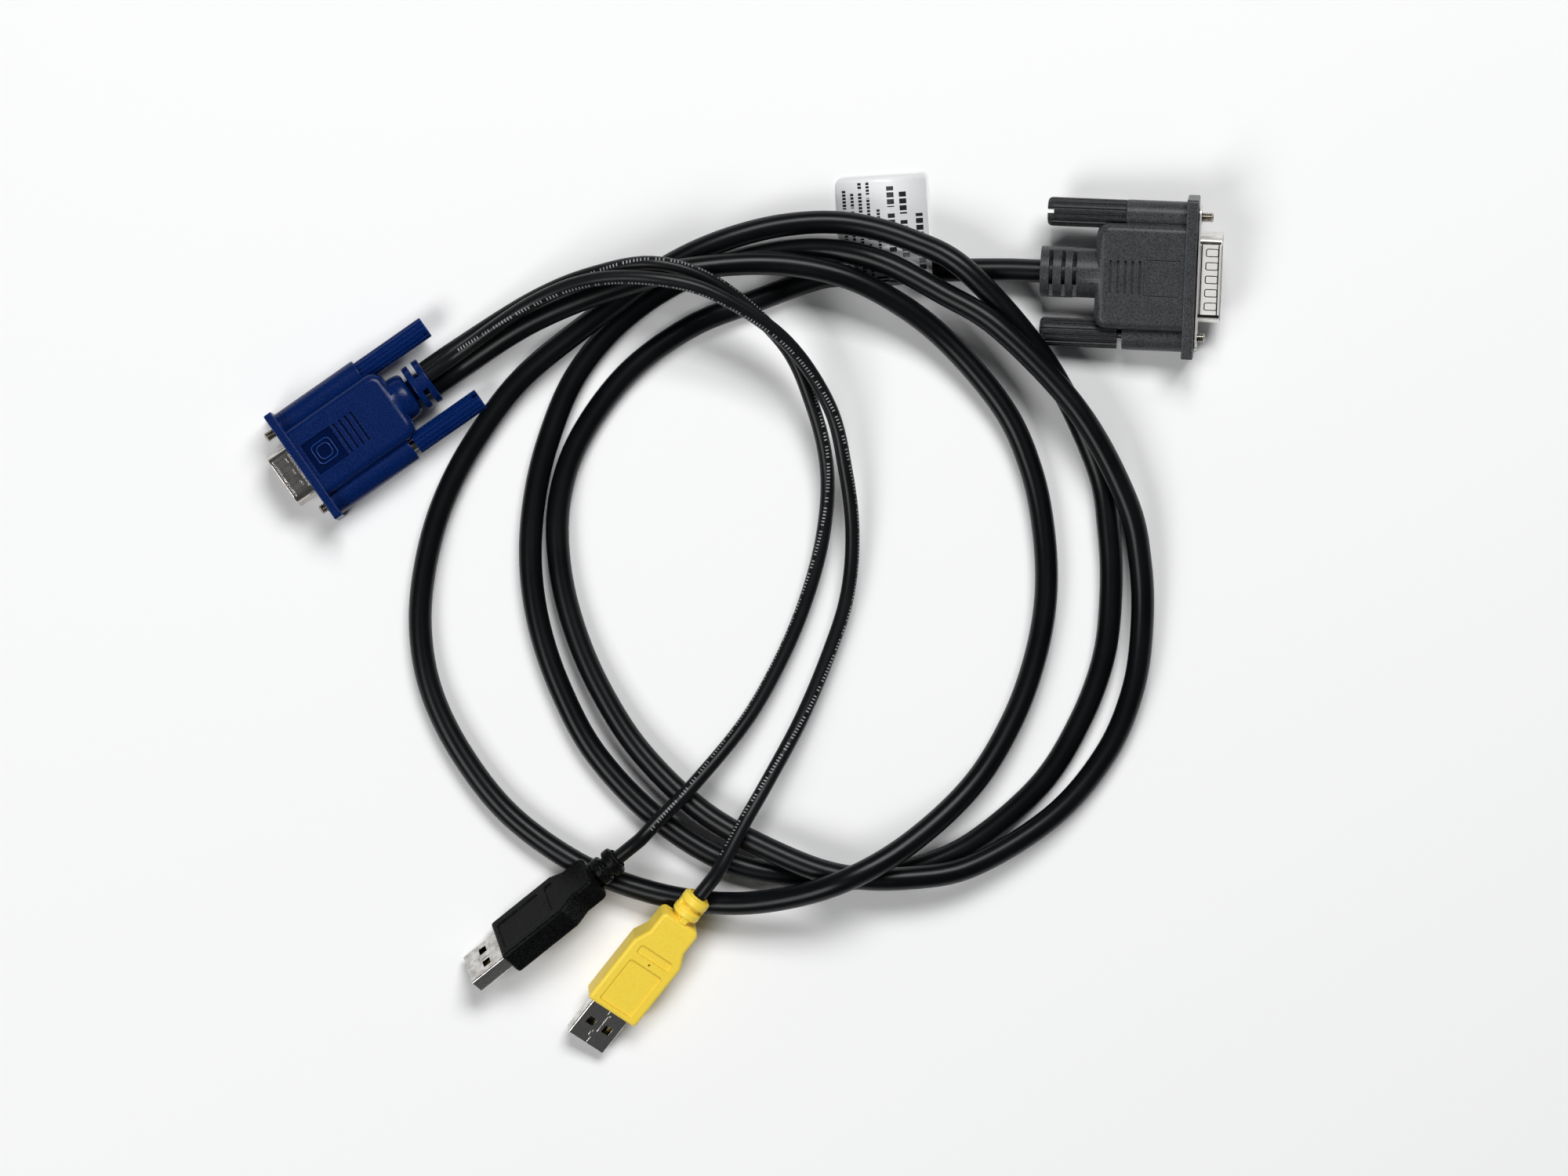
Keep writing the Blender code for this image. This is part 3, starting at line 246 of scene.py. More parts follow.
def add_ramp(value, *stops):
    """A colour ramp over a value, from its two (position, colour) stops."""
    ramp = set_inputs(value.id_data.nodes.new("ShaderNodeValToRGB"), {"Fac": value})
    for element, (position, colour) in zip(ramp.color_ramp.elements, stops):
        element.position = position
        element.color = (*colour, 1.0)
    return ramp.outputs["Color"]


def jacket_rubber(name, dark, light, grime):
    """Satin PVC or the ink on it: faintly uneven in colour and gloss, with a fine skin."""
    material, tree, shader, place = start_material(name)
    shader.inputs["Specular IOR Level"].default_value = 0.2
    cloud = noise(place, Scale=55.0, Detail=4.0)
    gloss = remap(cloud, (0.0, 1.0), (0.26, 0.26 + grime))
    bump = add_node(tree, "ShaderNodeBump", "Normal",
                    {"Height": noise(place, Scale=1800.0, Detail=3.0), "Strength": 0.12,
                     "Distance": 0.1 * MM})
    set_inputs(shader, {"Base Color": add_ramp(cloud, (0.35, dark), (0.7, light)),
                        "Roughness": gloss, "Normal": bump})
    return material


def lay_jacket(name, node, diameter, line, rubber):
    """The round jacket along its line, as one closed tube that replaces the faceted solid."""
    curve = bpy.data.curves.new(name, "CURVE")
    curve.dimensions = "3D"
    curve.bevel_depth = diameter / 2
    curve.bevel_resolution = (JACKET_SIDES - 4) // 2
    curve.use_fill_caps = True
    spline = curve.splines.new("POLY")
    spline.points.add(len(line) - 1)
    for point, place in zip(spline.points, line):
        point.co = (*place, 1.0)
    jacket = in_scene(name, curve)
    curve.materials.append(rubber)
    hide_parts(node)
    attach(jacket, "cable_set")
    return jacket


thick_rubber = jacket_rubber("thick_cable_jacket", (0.0016, 0.0021, 0.0028), (0.0034, 0.0042, 0.0052), 0.10)
main_line = cable_line((blue_plug, DE_EXIT_MAIN, DE_FACE), MAIN_ROUTE, (black_plug, DA_FACE))
main_jacket = lay_jacket("thick_cable", "main_cable", MAIN_DIAMETER, main_line, thick_rubber)


# Two thin cables: dark grey PVC, softer than the thick one. Both leave the blue plug's
# strain relief above the thick cable and run across the coil to their own USB plugs.
USB_DIAMETER = 4.0 * MM
USB_FACE = -40.8 * MM
USB_BLACK_PLACE = (-65.4, -89.5, 8.265)
USB_BLACK_ANGLES = (218.9, -10.8, 54.0)
USB_YELLOW_PLACE = (-36.3, -105.9, 6.290)
USB_YELLOW_ANGLES = (231.75, -13.4, -16.0)
DE_EXIT_USB_BLACK = mm(-3.3, 0.6)
DE_EXIT_USB_YELLOW = mm(-0.9, 4.6)
USB_BLACK_ROUTE = (
    (-58, 89, 15.8), (-40.5, 96, 19.4), (-23, 98.5, 23.2), (-6, 92.5, 20.4), (11.5, 77, 14),
    (19.5, 60, 10), (23.5, 42.5, 7), (22.5, 25, 5.2), (18, 7.5, 4.4), (11, -9.5, 5.2),
    (1, -27, 7.6), (-13.5, -44.5, 12.6), (-22, -53, 15.4),
)
USB_YELLOW_ROUTE = (
    (-58, 87.5, 20.6), (-40.5, 94, 23.8), (-22, 94, 26.2), (-6, 89.5, 24.8), (12, 77.5, 19.4),
    (24, 60, 13.4), (28.5, 42.5, 9.6), (30.5, 25, 7), (29, 7.5, 5.4), (23.5, -9.5, 5.6),
    (16, -27, 7.4), (6.5, -44.5, 11.6), (1, -54, 14.4),
)


def usb_frame(place, angles):
    """A USB plug's own frame, from its place and its turn, pitch and roll in degrees."""
    turn, pitch, roll = (math.radians(angle) for angle in angles)
    return (Matrix.Translation(Vector(place) * MM + ORIGIN_SHIFT) @ Matrix.Rotation(turn, 4, "Z")
            @ Matrix.Rotation(-pitch, 4, "Y") @ Matrix.Rotation(roll, 4, "X"))


usb_black_plug = usb_frame(USB_BLACK_PLACE, USB_BLACK_ANGLES)
usb_yellow_plug = usb_frame(USB_YELLOW_PLACE, USB_YELLOW_ANGLES)
leads = []
thin_rubber = jacket_rubber("thin_cable_jacket", (0.0042, 0.0046, 0.0052), (0.0085, 0.0092, 0.010), 0.12)
for name, node, exit_place, route, plug in (
        ("black_usb_lead", "usb_black_cable", DE_EXIT_USB_BLACK, USB_BLACK_ROUTE, usb_black_plug),
        ("yellow_usb_lead", "usb_yellow_cable", DE_EXIT_USB_YELLOW, USB_YELLOW_ROUTE,
         usb_yellow_plug)):
    line = cable_line((blue_plug, exit_place, DE_FACE), route, (plug, USB_FACE))
    leads.append((lay_jacket(name, node, USB_DIAMETER, line, thin_rubber), line))


# Print on the thin cables: small pale dashes of ink in word-long rows, rolled onto the jacket
# as it is made. They wander round the cable because it lies a little twisted.
MARK_SIZE = mm(0.32, 0.9, 0.06)
MARK_PITCH = 0.95 * MM
MARK_WORDS = (8, 3, 7, 5, 3, 4, 9, 2, 6)
MARK_ENDS = 12.0 * MM
MARK_PROUD = 0.02 * MM
MARK_ROLL = 1.15
MARK_TWIST = 0.21
pale_ink = jacket_rubber("pale_jacket_ink", (0.17, 0.175, 0.18), (0.40, 0.41, 0.42), 0.2)
one_mark = bmesh.new()
bmesh.ops.create_cube(one_mark, size=1.0, matrix=Matrix.Diagonal((*MARK_SIZE, 1.0)))
across = [e for e in one_mark.edges if abs(e.verts[0].co.y - e.verts[1].co.y) > MARK_SIZE[1] / 2]
bmesh.ops.subdivide_edges(one_mark, edges=across, cuts=3, use_grid_fill=True)
mark_mesh = as_mesh("one_mark", one_mark)
for (lead, line), twist_start in zip(leads, (1.5, 5.6)):
    marks = bmesh.new()
    travelled = 0.0
    wanted = MARK_ENDS
    length = sum((b - a).length for a, b in zip(line, line[1:]))
    word = 0
    letter = 0
    for here, there in zip(line, line[1:]):
        stretch = (there - here).length
        along = (there - here).normalized()
        up = (Vector((0, 0, 1)) - along * along.z).normalized()
        while travelled + stretch > wanted and wanted < length - MARK_ENDS:
            middle = here.lerp(there, (wanted - travelled) / stretch)
            roll = MARK_ROLL * math.sin(twist_start + 2 * math.pi * wanted / MARK_TWIST)
            known = len(marks.verts)
            marks.from_mesh(mark_mesh)
            marks.verts.ensure_lookup_table()
            for vert in marks.verts[known:]:
                radius = USB_DIAMETER / 2 + MARK_PROUD - MARK_SIZE[2] / 2 + vert.co.z
                turn = Matrix.Rotation(roll + 2 * vert.co.y / USB_DIAMETER, 3, along)
                vert.co = middle + along * vert.co.x + turn @ up * radius
            letter += 1
            wanted += MARK_PITCH
            if letter == MARK_WORDS[word % len(MARK_WORDS)]:
                letter = 0
                word += 1
                wanted += MARK_PITCH
        travelled += stretch
    bmesh.ops.recalc_face_normals(marks, faces=marks.faces)
    printed = in_scene(lead.name + "_print", as_mesh(lead.name + "_print", marks))
    printed.data.materials.append(pale_ink)
    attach(printed, "cable_set")
bpy.data.meshes.remove(mark_mesh)


# Blue plug's hood: deep blue PVC moulded over the DE connector and the three cable ends.
# Flange, body, screw columns and slotted strain relief are one shot, with a spark-eroded skin.
DE_PLUG = dict(
    shell_width=17.7 * MM,
    screw_span=24.99 * MM,
    plate_half=15.4 * MM,
    flange=mm(2.4, 34.6, 15.0),
    body=mm(30.6, 21.3, 13.4),
    body_corner=4.0 * MM,
    column=mm(26.1, 8.0),
    knob=mm(21.8, 6.2),
    tips=mm(3.1, 2.2),
    gaps=mm(0.3, 1.4),
)
SHELL_HEIGHT = 9.1 * MM
SHELL_WALL = 0.4 * MM
SHELL_CORNER = 2.6 * MM
SHELL_SLANT = math.radians(10.0)
SHELL_POCKET = 6.4 * MM
SHAFT_RADIUS = 1.42 * MM
FIT_GAP = 0.3 * MM
OVERRUN = 1.0 * MM
FLANGE_CORNER = 1.0 * MM
BODY_CROWN = 2.4 * MM
SOFT_EDGE = 0.3 * MM
ROUND_SIDES = 64
SHARP_TURN = math.radians(50.0)
SMOOTH_BELOW = math.radians(32.0)
FLAT_FACE = 0.9
MOULD_ROUND = 0.18 * MM
KNOB_ROOM = 0.5 * MM
TOP_GROOVE = mm(9.4, 0.9, 0.9)


def bevel(bm, edges, offset, steps):
    """Round the edges in a few steps."""
    bmesh.ops.bevel(bm, geom=edges, offset=offset, segments=steps, profile=0.5, affect="EDGES",
                    material=-1)


def direction(edge):
    """The axis that an edge mostly runs along."""
    run = edge.verts[1].co - edge.verts[0].co
    return max("xyz", key=lambda axis: abs(run["xyz".index(axis)]))


def soften(bm, offset, steps=2):
    """Round every sharp edge a little, as a mould does."""
    sharp = [e for e in bm.edges if e.is_manifold and e.calc_face_angle() > SHARP_TURN]
    bevel(bm, sharp, offset, steps)
    return bm


def new_verts(made):
    """The vertices among the things that an operator made."""
    return [v for v in made["geom"] if isinstance(v, bmesh.types.BMVert)]


def block(low, high, edge=0.0, along="xyz", steps=3):
    """A closed box between two corners, its edges along the named axes rounded."""
    bm = bmesh.new()
    low, high = Vector(low), Vector(high)
    bmesh.ops.create_cube(bm, size=1.0, matrix=Matrix.Translation((low + high) / 2)
                          @ Matrix.Diagonal((*(high - low), 1.0)))
    if edge:
        bevel(bm, [e for e in bm.edges if direction(e) in along], edge, steps)
    return bm


def slab(x_start, x_end, wide, high, *rounding):
    """A closed box along x about the plug's middle line."""
    return block((x_start, -wide / 2, -high / 2), (x_end, wide / 2, high / 2), *rounding)


def cylinder(placing, radius, length, sides):
    """A closed cylinder about the upright axis of its placing."""
    bm = bmesh.new()
    bmesh.ops.create_cone(bm, cap_ends=True, segments=sides, radius1=radius, radius2=radius,
                          depth=length, matrix=placing)
    return bm


def rod(x_start, x_end, y, radius, edge=0.0, sides=ROUND_SIDES):
    """A closed rod along x at the height of the plug's middle, its two rims rounded."""
    middle = Matrix.Translation(((x_start + x_end) / 2, y, 0.0))
    bm = cylinder(middle @ Matrix.Rotation(math.pi / 2, 4, "Y"), radius, abs(x_end - x_start), sides)
    return soften(bm, edge) if edge else bm


def turned(profile, sides=ROUND_SIDES):
    """A closed solid turned about the x axis from (x, radius) points."""
    bm = bmesh.new()
    ends = (profile[0][0], 0.0), (profile[-1][0], 0.0)
    line = [bm.verts.new((x, 0.0, radius)) for x, radius in (ends[0], *profile, ends[1])]
    edges = [bm.edges.new(pair) for pair in zip(line, line[1:])]
    bmesh.ops.spin(bm, geom=line + edges, cent=(0, 0, 0), axis=(1, 0, 0), angle=2 * math.pi,
                   steps=sides, use_merge=True)
    bmesh.ops.remove_doubles(bm, verts=bm.verts, dist=0.0001 * MM)
    bmesh.ops.recalc_face_normals(bm, faces=bm.faces)
    return bm


def ring_part(x_range, radii, start, sweep):
    """A closed piece of a ring about the x axis, from one angle on round to another."""
    bm = bmesh.new()
    size = x_range[1] - x_range[0], radii[1] - radii[0]
    middle = (x_range[0] + x_range[1]) / 2, 0.0, (radii[0] + radii[1]) / 2
    placing = (Matrix.Rotation(start, 4, "X") @ Matrix.Translation(middle)
               @ Matrix.Diagonal((size[0], 1.0, size[1], 1.0)) @ Matrix.Rotation(math.pi / 2, 4, "X"))
    bmesh.ops.create_grid(bm, x_segments=1, y_segments=1, size=0.5, matrix=placing)
    bmesh.ops.spin(bm, geom=bm.faces[:], cent=(0, 0, 0), axis=(1, 0, 0), angle=sweep, steps=32)
    return bm


def square_ring(middle, size, corner, line, height):
    """A closed ring of a rounded square outline that stands on its middle's height."""
    x, y, z = middle
    bm = block((x - size[0] / 2, y - size[1] / 2, z), (x + size[0] / 2, y + size[1] / 2, z + height),
               corner, "z", 6)
    faces = [f for f in bm.faces if abs(f.normal.z) > FLAT_FACE]
    bmesh.ops.inset_region(bm, faces=faces, thickness=line)
    bmesh.ops.delete(bm, geom=faces, context="FACES")
    bmesh.ops.bridge_loops(bm, edges=[e for e in bm.edges if e.is_boundary])
    return bm


def d_block(plug, inset, x_start, x_end):
    """A closed block along x, of the plug's D outline or of one set in from it, wide side down."""
    height = SHELL_HEIGHT - 2 * inset
    bm = slab(x_start, x_end, plug["shell_width"] - 2 * inset, height)
    for vert in bm.verts:
        if vert.co.z > 0.0:
            vert.co.y -= math.copysign(math.tan(SHELL_SLANT) * height, vert.co.y)
    for side in (1, -1):
        edges = [e for e in bm.edges if direction(e) == "x" and e.verts[0].co.z * side > height / 2.1]
        half_angle = math.radians(45.0) + side * SHELL_SLANT / 2
        bevel(bm, edges, (SHELL_CORNER - inset) / math.tan(half_angle), 8)
    return bm


def formed(name, base, joined=(), cut=()):
    """One closed mesh: the base with shapes joined to it and other shapes cut out of it."""
    held = []
    for shape in (base, *joined, *cut):
        bmesh.ops.recalc_face_normals(shape, faces=shape.faces)
        held.append(in_scene(name, as_mesh(name, shape)))
    for number, tool in enumerate(held[1:]):
        modifier = held[0].modifiers.new("form", "BOOLEAN")
        modifier.operation = "UNION" if number < len(joined) else "DIFFERENCE"
        modifier.solver = "EXACT"
        modifier.object = tool
    bpy.context.view_layer.update()
    finished = held[0].evaluated_get(bpy.context.evaluated_depsgraph_get())
    made = bpy.data.meshes.new_from_object(finished)
    for item in held:
        mesh = item.data
        bpy.data.objects.remove(item, do_unlink=True)
        bpy.data.meshes.remove(mesh)
    return made


def fit_piece(name, shape, placing, finish, slot, *replaced, body="cable_set"):
    """Put a finished shape in its place, hang it on the body it rides on, and hide the parts it replaces.
    """
    mesh = shape
    if isinstance(shape, bmesh.types.BMesh):
        bmesh.ops.recalc_face_normals(shape, faces=shape.faces)
        mesh = as_mesh(name, shape)
    mesh.name = name
    mesh.transform(placing)
    mesh.materials.clear()
    mesh.materials.append(finish)
    mesh.shade_smooth()
    mesh.set_sharp_from_angle(angle=SMOOTH_BELOW)
    piece = in_scene(name, mesh)
    even = piece.modifiers.new("even_shading", "WEIGHTED_NORMAL")
    even.keep_sharp = True
    if replaced:
        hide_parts(*replaced)
    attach(piece, body)
    return piece


def paint_shade_on_faces(piece, finish, faces):
    """Give some faces of a piece a second, darker material that paints shade on them."""
    piece.data.materials.append(finish)
    for index in faces:
        piece.data.polygons[index].material_index = 1


def rounded_edges(tree, radius):
    """The surface's direction, with every edge rounded off."""
    node = tree.nodes.new("ShaderNodeBevel")
    node.samples = 4
    node.inputs["Radius"].default_value = radius
    return node.outputs["Normal"]


def moulded_skin(name, deep, bright, gloss, grain_depth, grain_scale=2500.0, specular=0.20,
                 edge_light=3.5):
    """Moulded plastic: a spark-eroded grain that mottles its tint, and edges that the mould rounds.
    The tint along the edges is multiplied by edge_light: a painted highlight above one, painted shade below
    one."""
    material, tree, shader, place = start_material(name)
    shader.inputs["Specular IOR Level"].default_value = specular
    cloud = noise(place, Scale=240.0, Detail=6.0, Roughness=0.7)
    grain = noise(place, Scale=grain_scale, Detail=2.0)
    mottle = add_node(tree, "ShaderNodeMix", "Result", {"A": cloud, "B": grain, "Factor": 0.75})
    tint = add_ramp(mottle, (0.36, deep), (0.64, bright))
    edge = rounded_edges(tree, MOULD_ROUND)
    turning = tree.nodes.new("ShaderNodeVectorMath")
    turning.operation = "DOT_PRODUCT"
    flat = tree.nodes.new("ShaderNodeNewGeometry").outputs["True Normal"]
    set_inputs(turning, {0: edge, 1: flat})
    # Painted highlight or shade along every edge, where the rounded normal turns away from the true one.
    painted_edge_tone = remap(turning.outputs["Value"], (0.99, 0.85), (1.0, edge_light))
    edge_painted_tint = tree.nodes.new("ShaderNodeVectorMath")
    edge_painted_tint.operation = "SCALE"
    set_inputs(edge_painted_tint, {0: tint, "Scale": painted_edge_tone})
    shine = remap(grain, (0.3, 0.7), (gloss - 0.09, gloss + 0.07))
    bump = add_node(tree, "ShaderNodeBump", "Normal",
                    {"Height": grain, "Normal": edge, "Strength": 0.5, "Distance": grain_depth})
    set_inputs(shader, {"Base Color": edge_painted_tint.outputs["Vector"], "Roughness": shine, "Normal": bump})
    return material


def hood_shapes(plug):
    """Flange, body and screw columns of a D plug's hood, and what is cut from all of them."""
    thick, wide, high = plug["flange"]
    body_long, body_wide, body_high = plug["body"]
    column_long, column_wide = plug["column"]
    half_span = plug["screw_span"] / 2
    body_end = -thick - body_long
    column_end = -thick - column_long
    flange = soften(slab(-thick, 0.0, wide, high, FLANGE_CORNER, "x"), SOFT_EDGE)
    body = slab(body_end, -thick / 2, body_wide, body_high)
    rear = [e for e in body.edges if direction(e) == "z" and e.verts[0].co.x < -body_long / 2]
    bevel(body, rear, plug["body_corner"], 8)
    crown = [e for e in body.edges if e.calc_face_angle() > SHARP_TURN and direction(e) != "z"
             and min(v.co.x for v in e.verts) < -thick]
    bevel(body, crown, BODY_CROWN, 8)
    joined = [body]
    cut = []
    for side in (-1, 1):
        y = side * half_span
        joined.append(rod(column_end, -thick / 2, y, column_wide / 2, SOFT_EDGE))
        cut.append(rod(body_end - OVERRUN, column_end, y, plug["knob"][1] / 2 + KNOB_ROOM))
        cut.append(rod(column_end - OVERRUN, OVERRUN, y, SHAFT_RADIUS + FIT_GAP, sides=32))
    cut.append(d_block(plug, SHELL_WALL, -SHELL_POCKET, OVERRUN))
    return flange, joined, cut


def moulded_grooves(top, first, pitch, count, end_round=0.0):
    """Cutters for a row of grooves across the top of a hood."""
    across, along, deep = TOP_GROOVE
    return [block((front - along, -across / 2, top - deep), (front, across / 2, top + OVERRUN),
                  end_round, "z", 4) for front in (first - k * pitch for k in range(count))]


DOME_START = -33.6 * MM
DOME_END = -37.05 * MM
DOME_RADIUS = 6.6 * MM
DOME_LIP = 5.3 * MM
DOME_EDGE = 0.4 * MM
RELIEF_CORE = 3.4 * MM
DE_RING = mm(-38.1, -43.3)
DE_RING_RADIUS = 6.8 * MM
DE_SLOT = mm(-41.4, -39.9)
DE_SLOT_FLOOR = 3.6 * MM
BRIDGE_HALF = math.radians(17.0)
DE_TOP = 6.7 * MM
DE_BADGE = 9.8 * MM
DE_BADGE_MIDDLE = -8.5 * MM
BADGE_DEPTH = 0.7 * MM
BADGE_LINE = mm(1.5, 0.28, 0.55)  # corner, width, height
BADGE_LINE_FOOT = 5.9 * MM
DE_GROOVES = (-14.1 * MM, 1.9 * MM, 4)
PLATE_POCKET = mm(0.8, 13.1)  # depth, height
SLOT_END = mm(0.75, 4.0)  # radius, length
SLOT_END_PLACE = mm(2.7, 7.0)
DOME_ROOT = 3.0 * MM
DOME_STEPS = 8

blue_skin = moulded_skin("blue_hood_skin", (0.0007, 0.0095, 0.066), (0.0013, 0.0150, 0.094), gloss=0.28,
                         grain_depth=0.035 * MM, grain_scale=2600.0)
# The badge's floor: smoother than the skin, and painted darker as shade in the recess.
recess_shade_skin = moulded_skin("blue_recess_painted_shade", (0.0005, 0.0045, 0.034), (0.0007, 0.0062, 0.044),
                           gloss=0.22, grain_depth=0.01 * MM, grain_scale=2600.0, specular=0.12)
# The badge lines: glossier, and painted a lighter blue as a highlight on the ridges.
highlight_line_skin = moulded_skin("blue_line_painted_highlight", (0.006, 0.034, 0.160), (0.010, 0.046, 0.200), gloss=0.24,
                         grain_depth=0.01 * MM, grain_scale=2600.0, specular=0.4, edge_light=2.0)
flange, joined, cut = hood_shapes(DE_PLUG)
relief = [(DOME_START + DOME_ROOT, DOME_RADIUS)]
for k in range(DOME_STEPS + 1):
    share = k / DOME_STEPS
    drop = (DOME_RADIUS - DOME_LIP) * (1 - math.sqrt(1 - share ** 2))
    relief.append((DOME_START + (DOME_END - DOME_START) * share, DOME_RADIUS - drop))
relief += [(DOME_END, RELIEF_CORE), (DE_RING[0], RELIEF_CORE), (DE_RING[0], DE_RING_RADIUS),
           (DE_RING[1], DE_RING_RADIUS)]
joined.append(soften(turned(relief), DOME_EDGE, 3))
for side in (0, 1):
    start = BRIDGE_HALF + side * math.pi
    cut.append(ring_part(DE_SLOT, (DE_SLOT_FLOOR, DE_RING_RADIUS + OVERRUN), start,
                         math.pi - 2 * BRIDGE_HALF))
for side in (-1, 1):
    slot_end = Matrix.Translation((DE_SLOT[0], side * SLOT_END_PLACE[0], SLOT_END_PLACE[1]))
    cut.append(cylinder(slot_end, *SLOT_END, 24))
cut.append(slab(-PLATE_POCKET[0], OVERRUN, 2 * (DE_PLUG["plate_half"] + FIT_GAP), PLATE_POCKET[1]))
half = DE_BADGE / 2
cut.append(block((DE_BADGE_MIDDLE - half, -half, DE_TOP - BADGE_DEPTH),
                 (DE_BADGE_MIDDLE + half, half, DE_TOP + OVERRUN)))
cut += moulded_grooves(DE_TOP, *DE_GROOVES)
hood_mesh = formed("blue_hood_moulding", flange, joined, cut)
badge_floor = [face.index for face in hood_mesh.polygons if face.normal.z > FLAT_FACE
               and abs(face.center.z - DE_TOP + BADGE_DEPTH) < 0.05 * MM
               and abs(face.center.x - DE_BADGE_MIDDLE) < half and abs(face.center.y) < half]
hood = fit_piece("blue_hood_moulding", hood_mesh, blue_plug, blue_skin, "blue_plastic", "blue_hood")
# Painted shade: the badge's floor faces take the darker recess skin.
paint_shade_on_faces(hood, recess_shade_skin, badge_floor)
for name, size in (("blue_badge_outer_line", 6.2 * MM), ("blue_badge_inner_line", 4.2 * MM)):
    line = square_ring((DE_BADGE_MIDDLE, 0.0, BADGE_LINE_FOOT), (size, size), *BADGE_LINE)
    fit_piece(name, line, blue_plug, highlight_line_skin, "blue_plastic")


# Charcoal plug's hood: dark grey PVC with a coarser leather grain, moulded over the DA
# connector. Three slots are cut above and below across its strain relief.
DA_PLUG = dict(
    shell_width=26.05 * MM,
    screw_span=33.32 * MM,
    plate_half=19.57 * MM,
    flange=mm(3.2, 44.0, 16.0),
    body=mm(24.4, 29.1, 13.8),
    body_corner=3.4 * MM,
    column=mm(16.6, 8.2),
    knob=mm(21.4, 8.0),
    tips=mm(3.0, 4.0),
    gaps=mm(1.4, 0.3),
)
DA_TOP = 6.9 * MM
DA_RELIEF_RADIUS = 7.0 * MM
DA_SMOOTH_RADIUS = 6.8 * MM
DA_RELIEF_START = -24.0 * MM
DA_GROOVES = mm(-33.9, -37.0, -40.4)
DA_GROOVE = 1.15 * MM
SIDE_BRIDGE_HALF = math.radians(24.0)
DA_BADGE = 10.2 * MM
DA_BADGE_MIDDLE = -9.3 * MM
DA_LINE = mm(0.6, 0.32)  # corner, width
DA_LINE_DEPTH = 0.35 * MM
DA_TOP_GROOVES = (-14.9 * MM, 2.0 * MM, 5)
GROOVE_END_ROUND = 0.44 * MM
RING_EDGE = 0.15 * MM

charcoal_skin = moulded_skin("charcoal_hood_skin", (0.024, 0.0245, 0.0265), (0.066, 0.068, 0.072),
                             gloss=0.34, grain_depth=0.08 * MM, edge_light=3.0)
flange, joined, cut = hood_shapes(DA_PLUG)
first = DA_GROOVES[0]
relief = turned([(DA_RELIEF_START, DA_SMOOTH_RADIUS), (first, DA_SMOOTH_RADIUS),
                 (first, DA_RELIEF_RADIUS), (DA_FACE, DA_RELIEF_RADIUS)])
joined.append(soften(relief, RING_EDGE, 2))
for start in DA_GROOVES:
    for side in (-1, 1):
        cut.append(ring_part((start, start + DA_GROOVE), (RELIEF_CORE, DA_RELIEF_RADIUS + OVERRUN),
                             SIDE_BRIDGE_HALF + side * math.pi / 2, math.pi - 2 * SIDE_BRIDGE_HALF))
cut.append(square_ring((DA_BADGE_MIDDLE, 0.0, DA_TOP - DA_LINE_DEPTH),
                       (DA_BADGE, DA_BADGE), *DA_LINE, DA_LINE_DEPTH + OVERRUN))
cut += moulded_grooves(DA_TOP, *DA_TOP_GROOVES, GROOVE_END_ROUND)
hood_mesh = formed("charcoal_hood_moulding", flange, joined, cut)
fit_piece("charcoal_hood_moulding", hood_mesh, black_plug, charcoal_skin, "charcoal_plastic", "black_hood")


# Thumbscrews: a turned steel shaft with a thread at its tip, in a ribbed plastic knob. The
# charcoal plug's knobs are darker than its hood. A slot in the free end takes a screwdriver.
KNOB_RIBS = 14
RIB_POINTS = 6
VALLEY_POINTS = (4, 5)
RIB_DEPTH = 0.5 * MM
SHAFT_IN_KNOB = 8.0 * MM
THREAD_PITCH = 0.64 * MM
THREAD_DEPTH = 0.36 * MM
THREAD_START = -1.5 * MM
TIP_CONE = 0.5 * MM
TIP_RADIUS = 0.86 * MM
KNOB_SLOT = mm(1.2, 1.8)  # width, depth
KNOB_CLEARANCE = 0.06 * MM
BORE_PLAY = 0.1 * MM
KNOB_END_STEPS = 4
METAL_ROUND = 0.12 * MM


def plated_metal(name, colour, gloss, blotch, specks=0.0):
    """Plated sheet or turned metal, slightly uneven in tone and gloss, with a fine grain."""
    material, tree, shader, place = start_material(name)
    shader.inputs["Metallic"].default_value = 1.0
    cloud = noise(place, Scale=450.0, Detail=5.0, Roughness=0.65)
    blotched = [c * (1 - blotch) for c in colour]
    shine = remap(cloud, (0.3, 0.7), (gloss + 0.1, gloss))
    bump = add_node(tree, "ShaderNodeBump", "Normal",
                    {"Height": noise(place, Scale=1500.0), "Strength": 0.25 + specks,
                     "Normal": rounded_edges(tree, METAL_ROUND), "Distance": 0.02 * MM})
    set_inputs(shader, {"Base Color": add_ramp(cloud, (0.32, blotched), (0.6, colour)),
                        "Roughness": shine, "Normal": bump})
    return material


def knob_shape(front, rear, diameter, end_round):
    """A ribbed bar from the knob's front to its rounded free end."""
    bm = bmesh.new()
    facing = Matrix.Translation((front, 0.0, 0.0)) @ Matrix.Rotation(math.pi / 2, 4, "Y")
    bmesh.ops.create_circle(bm, cap_ends=True, segments=RIB_POINTS * KNOB_RIBS, radius=diameter / 2,
                            matrix=facing)
    for number, vert in enumerate(bm.verts):
        if number % RIB_POINTS in VALLEY_POINTS:
            share = 1 - RIB_DEPTH / (diameter / 2)
            vert.co.y *= share
            vert.co.z *= share
    face = bm.faces[:]
    stations = [(rear + end_round, 1.0)]
    for k in range(1, KNOB_END_STEPS + 1):
        angle = math.pi / 2 * k / KNOB_END_STEPS
        stations.append((rear + end_round * (1 - math.sin(angle)),
                         1 - end_round * (1 - math.cos(angle)) / (diameter / 2)))
    shrunk = 1.0
    for x, share in stations:
        made = bmesh.ops.extrude_face_region(bm, geom=face)
        face = [f for f in made["geom"] if isinstance(f, bmesh.types.BMFace)]
        for vert in new_verts(made):
            vert.co = (x, vert.co.y * share / shrunk, vert.co.z * share / shrunk)
        shrunk = share
    return bm


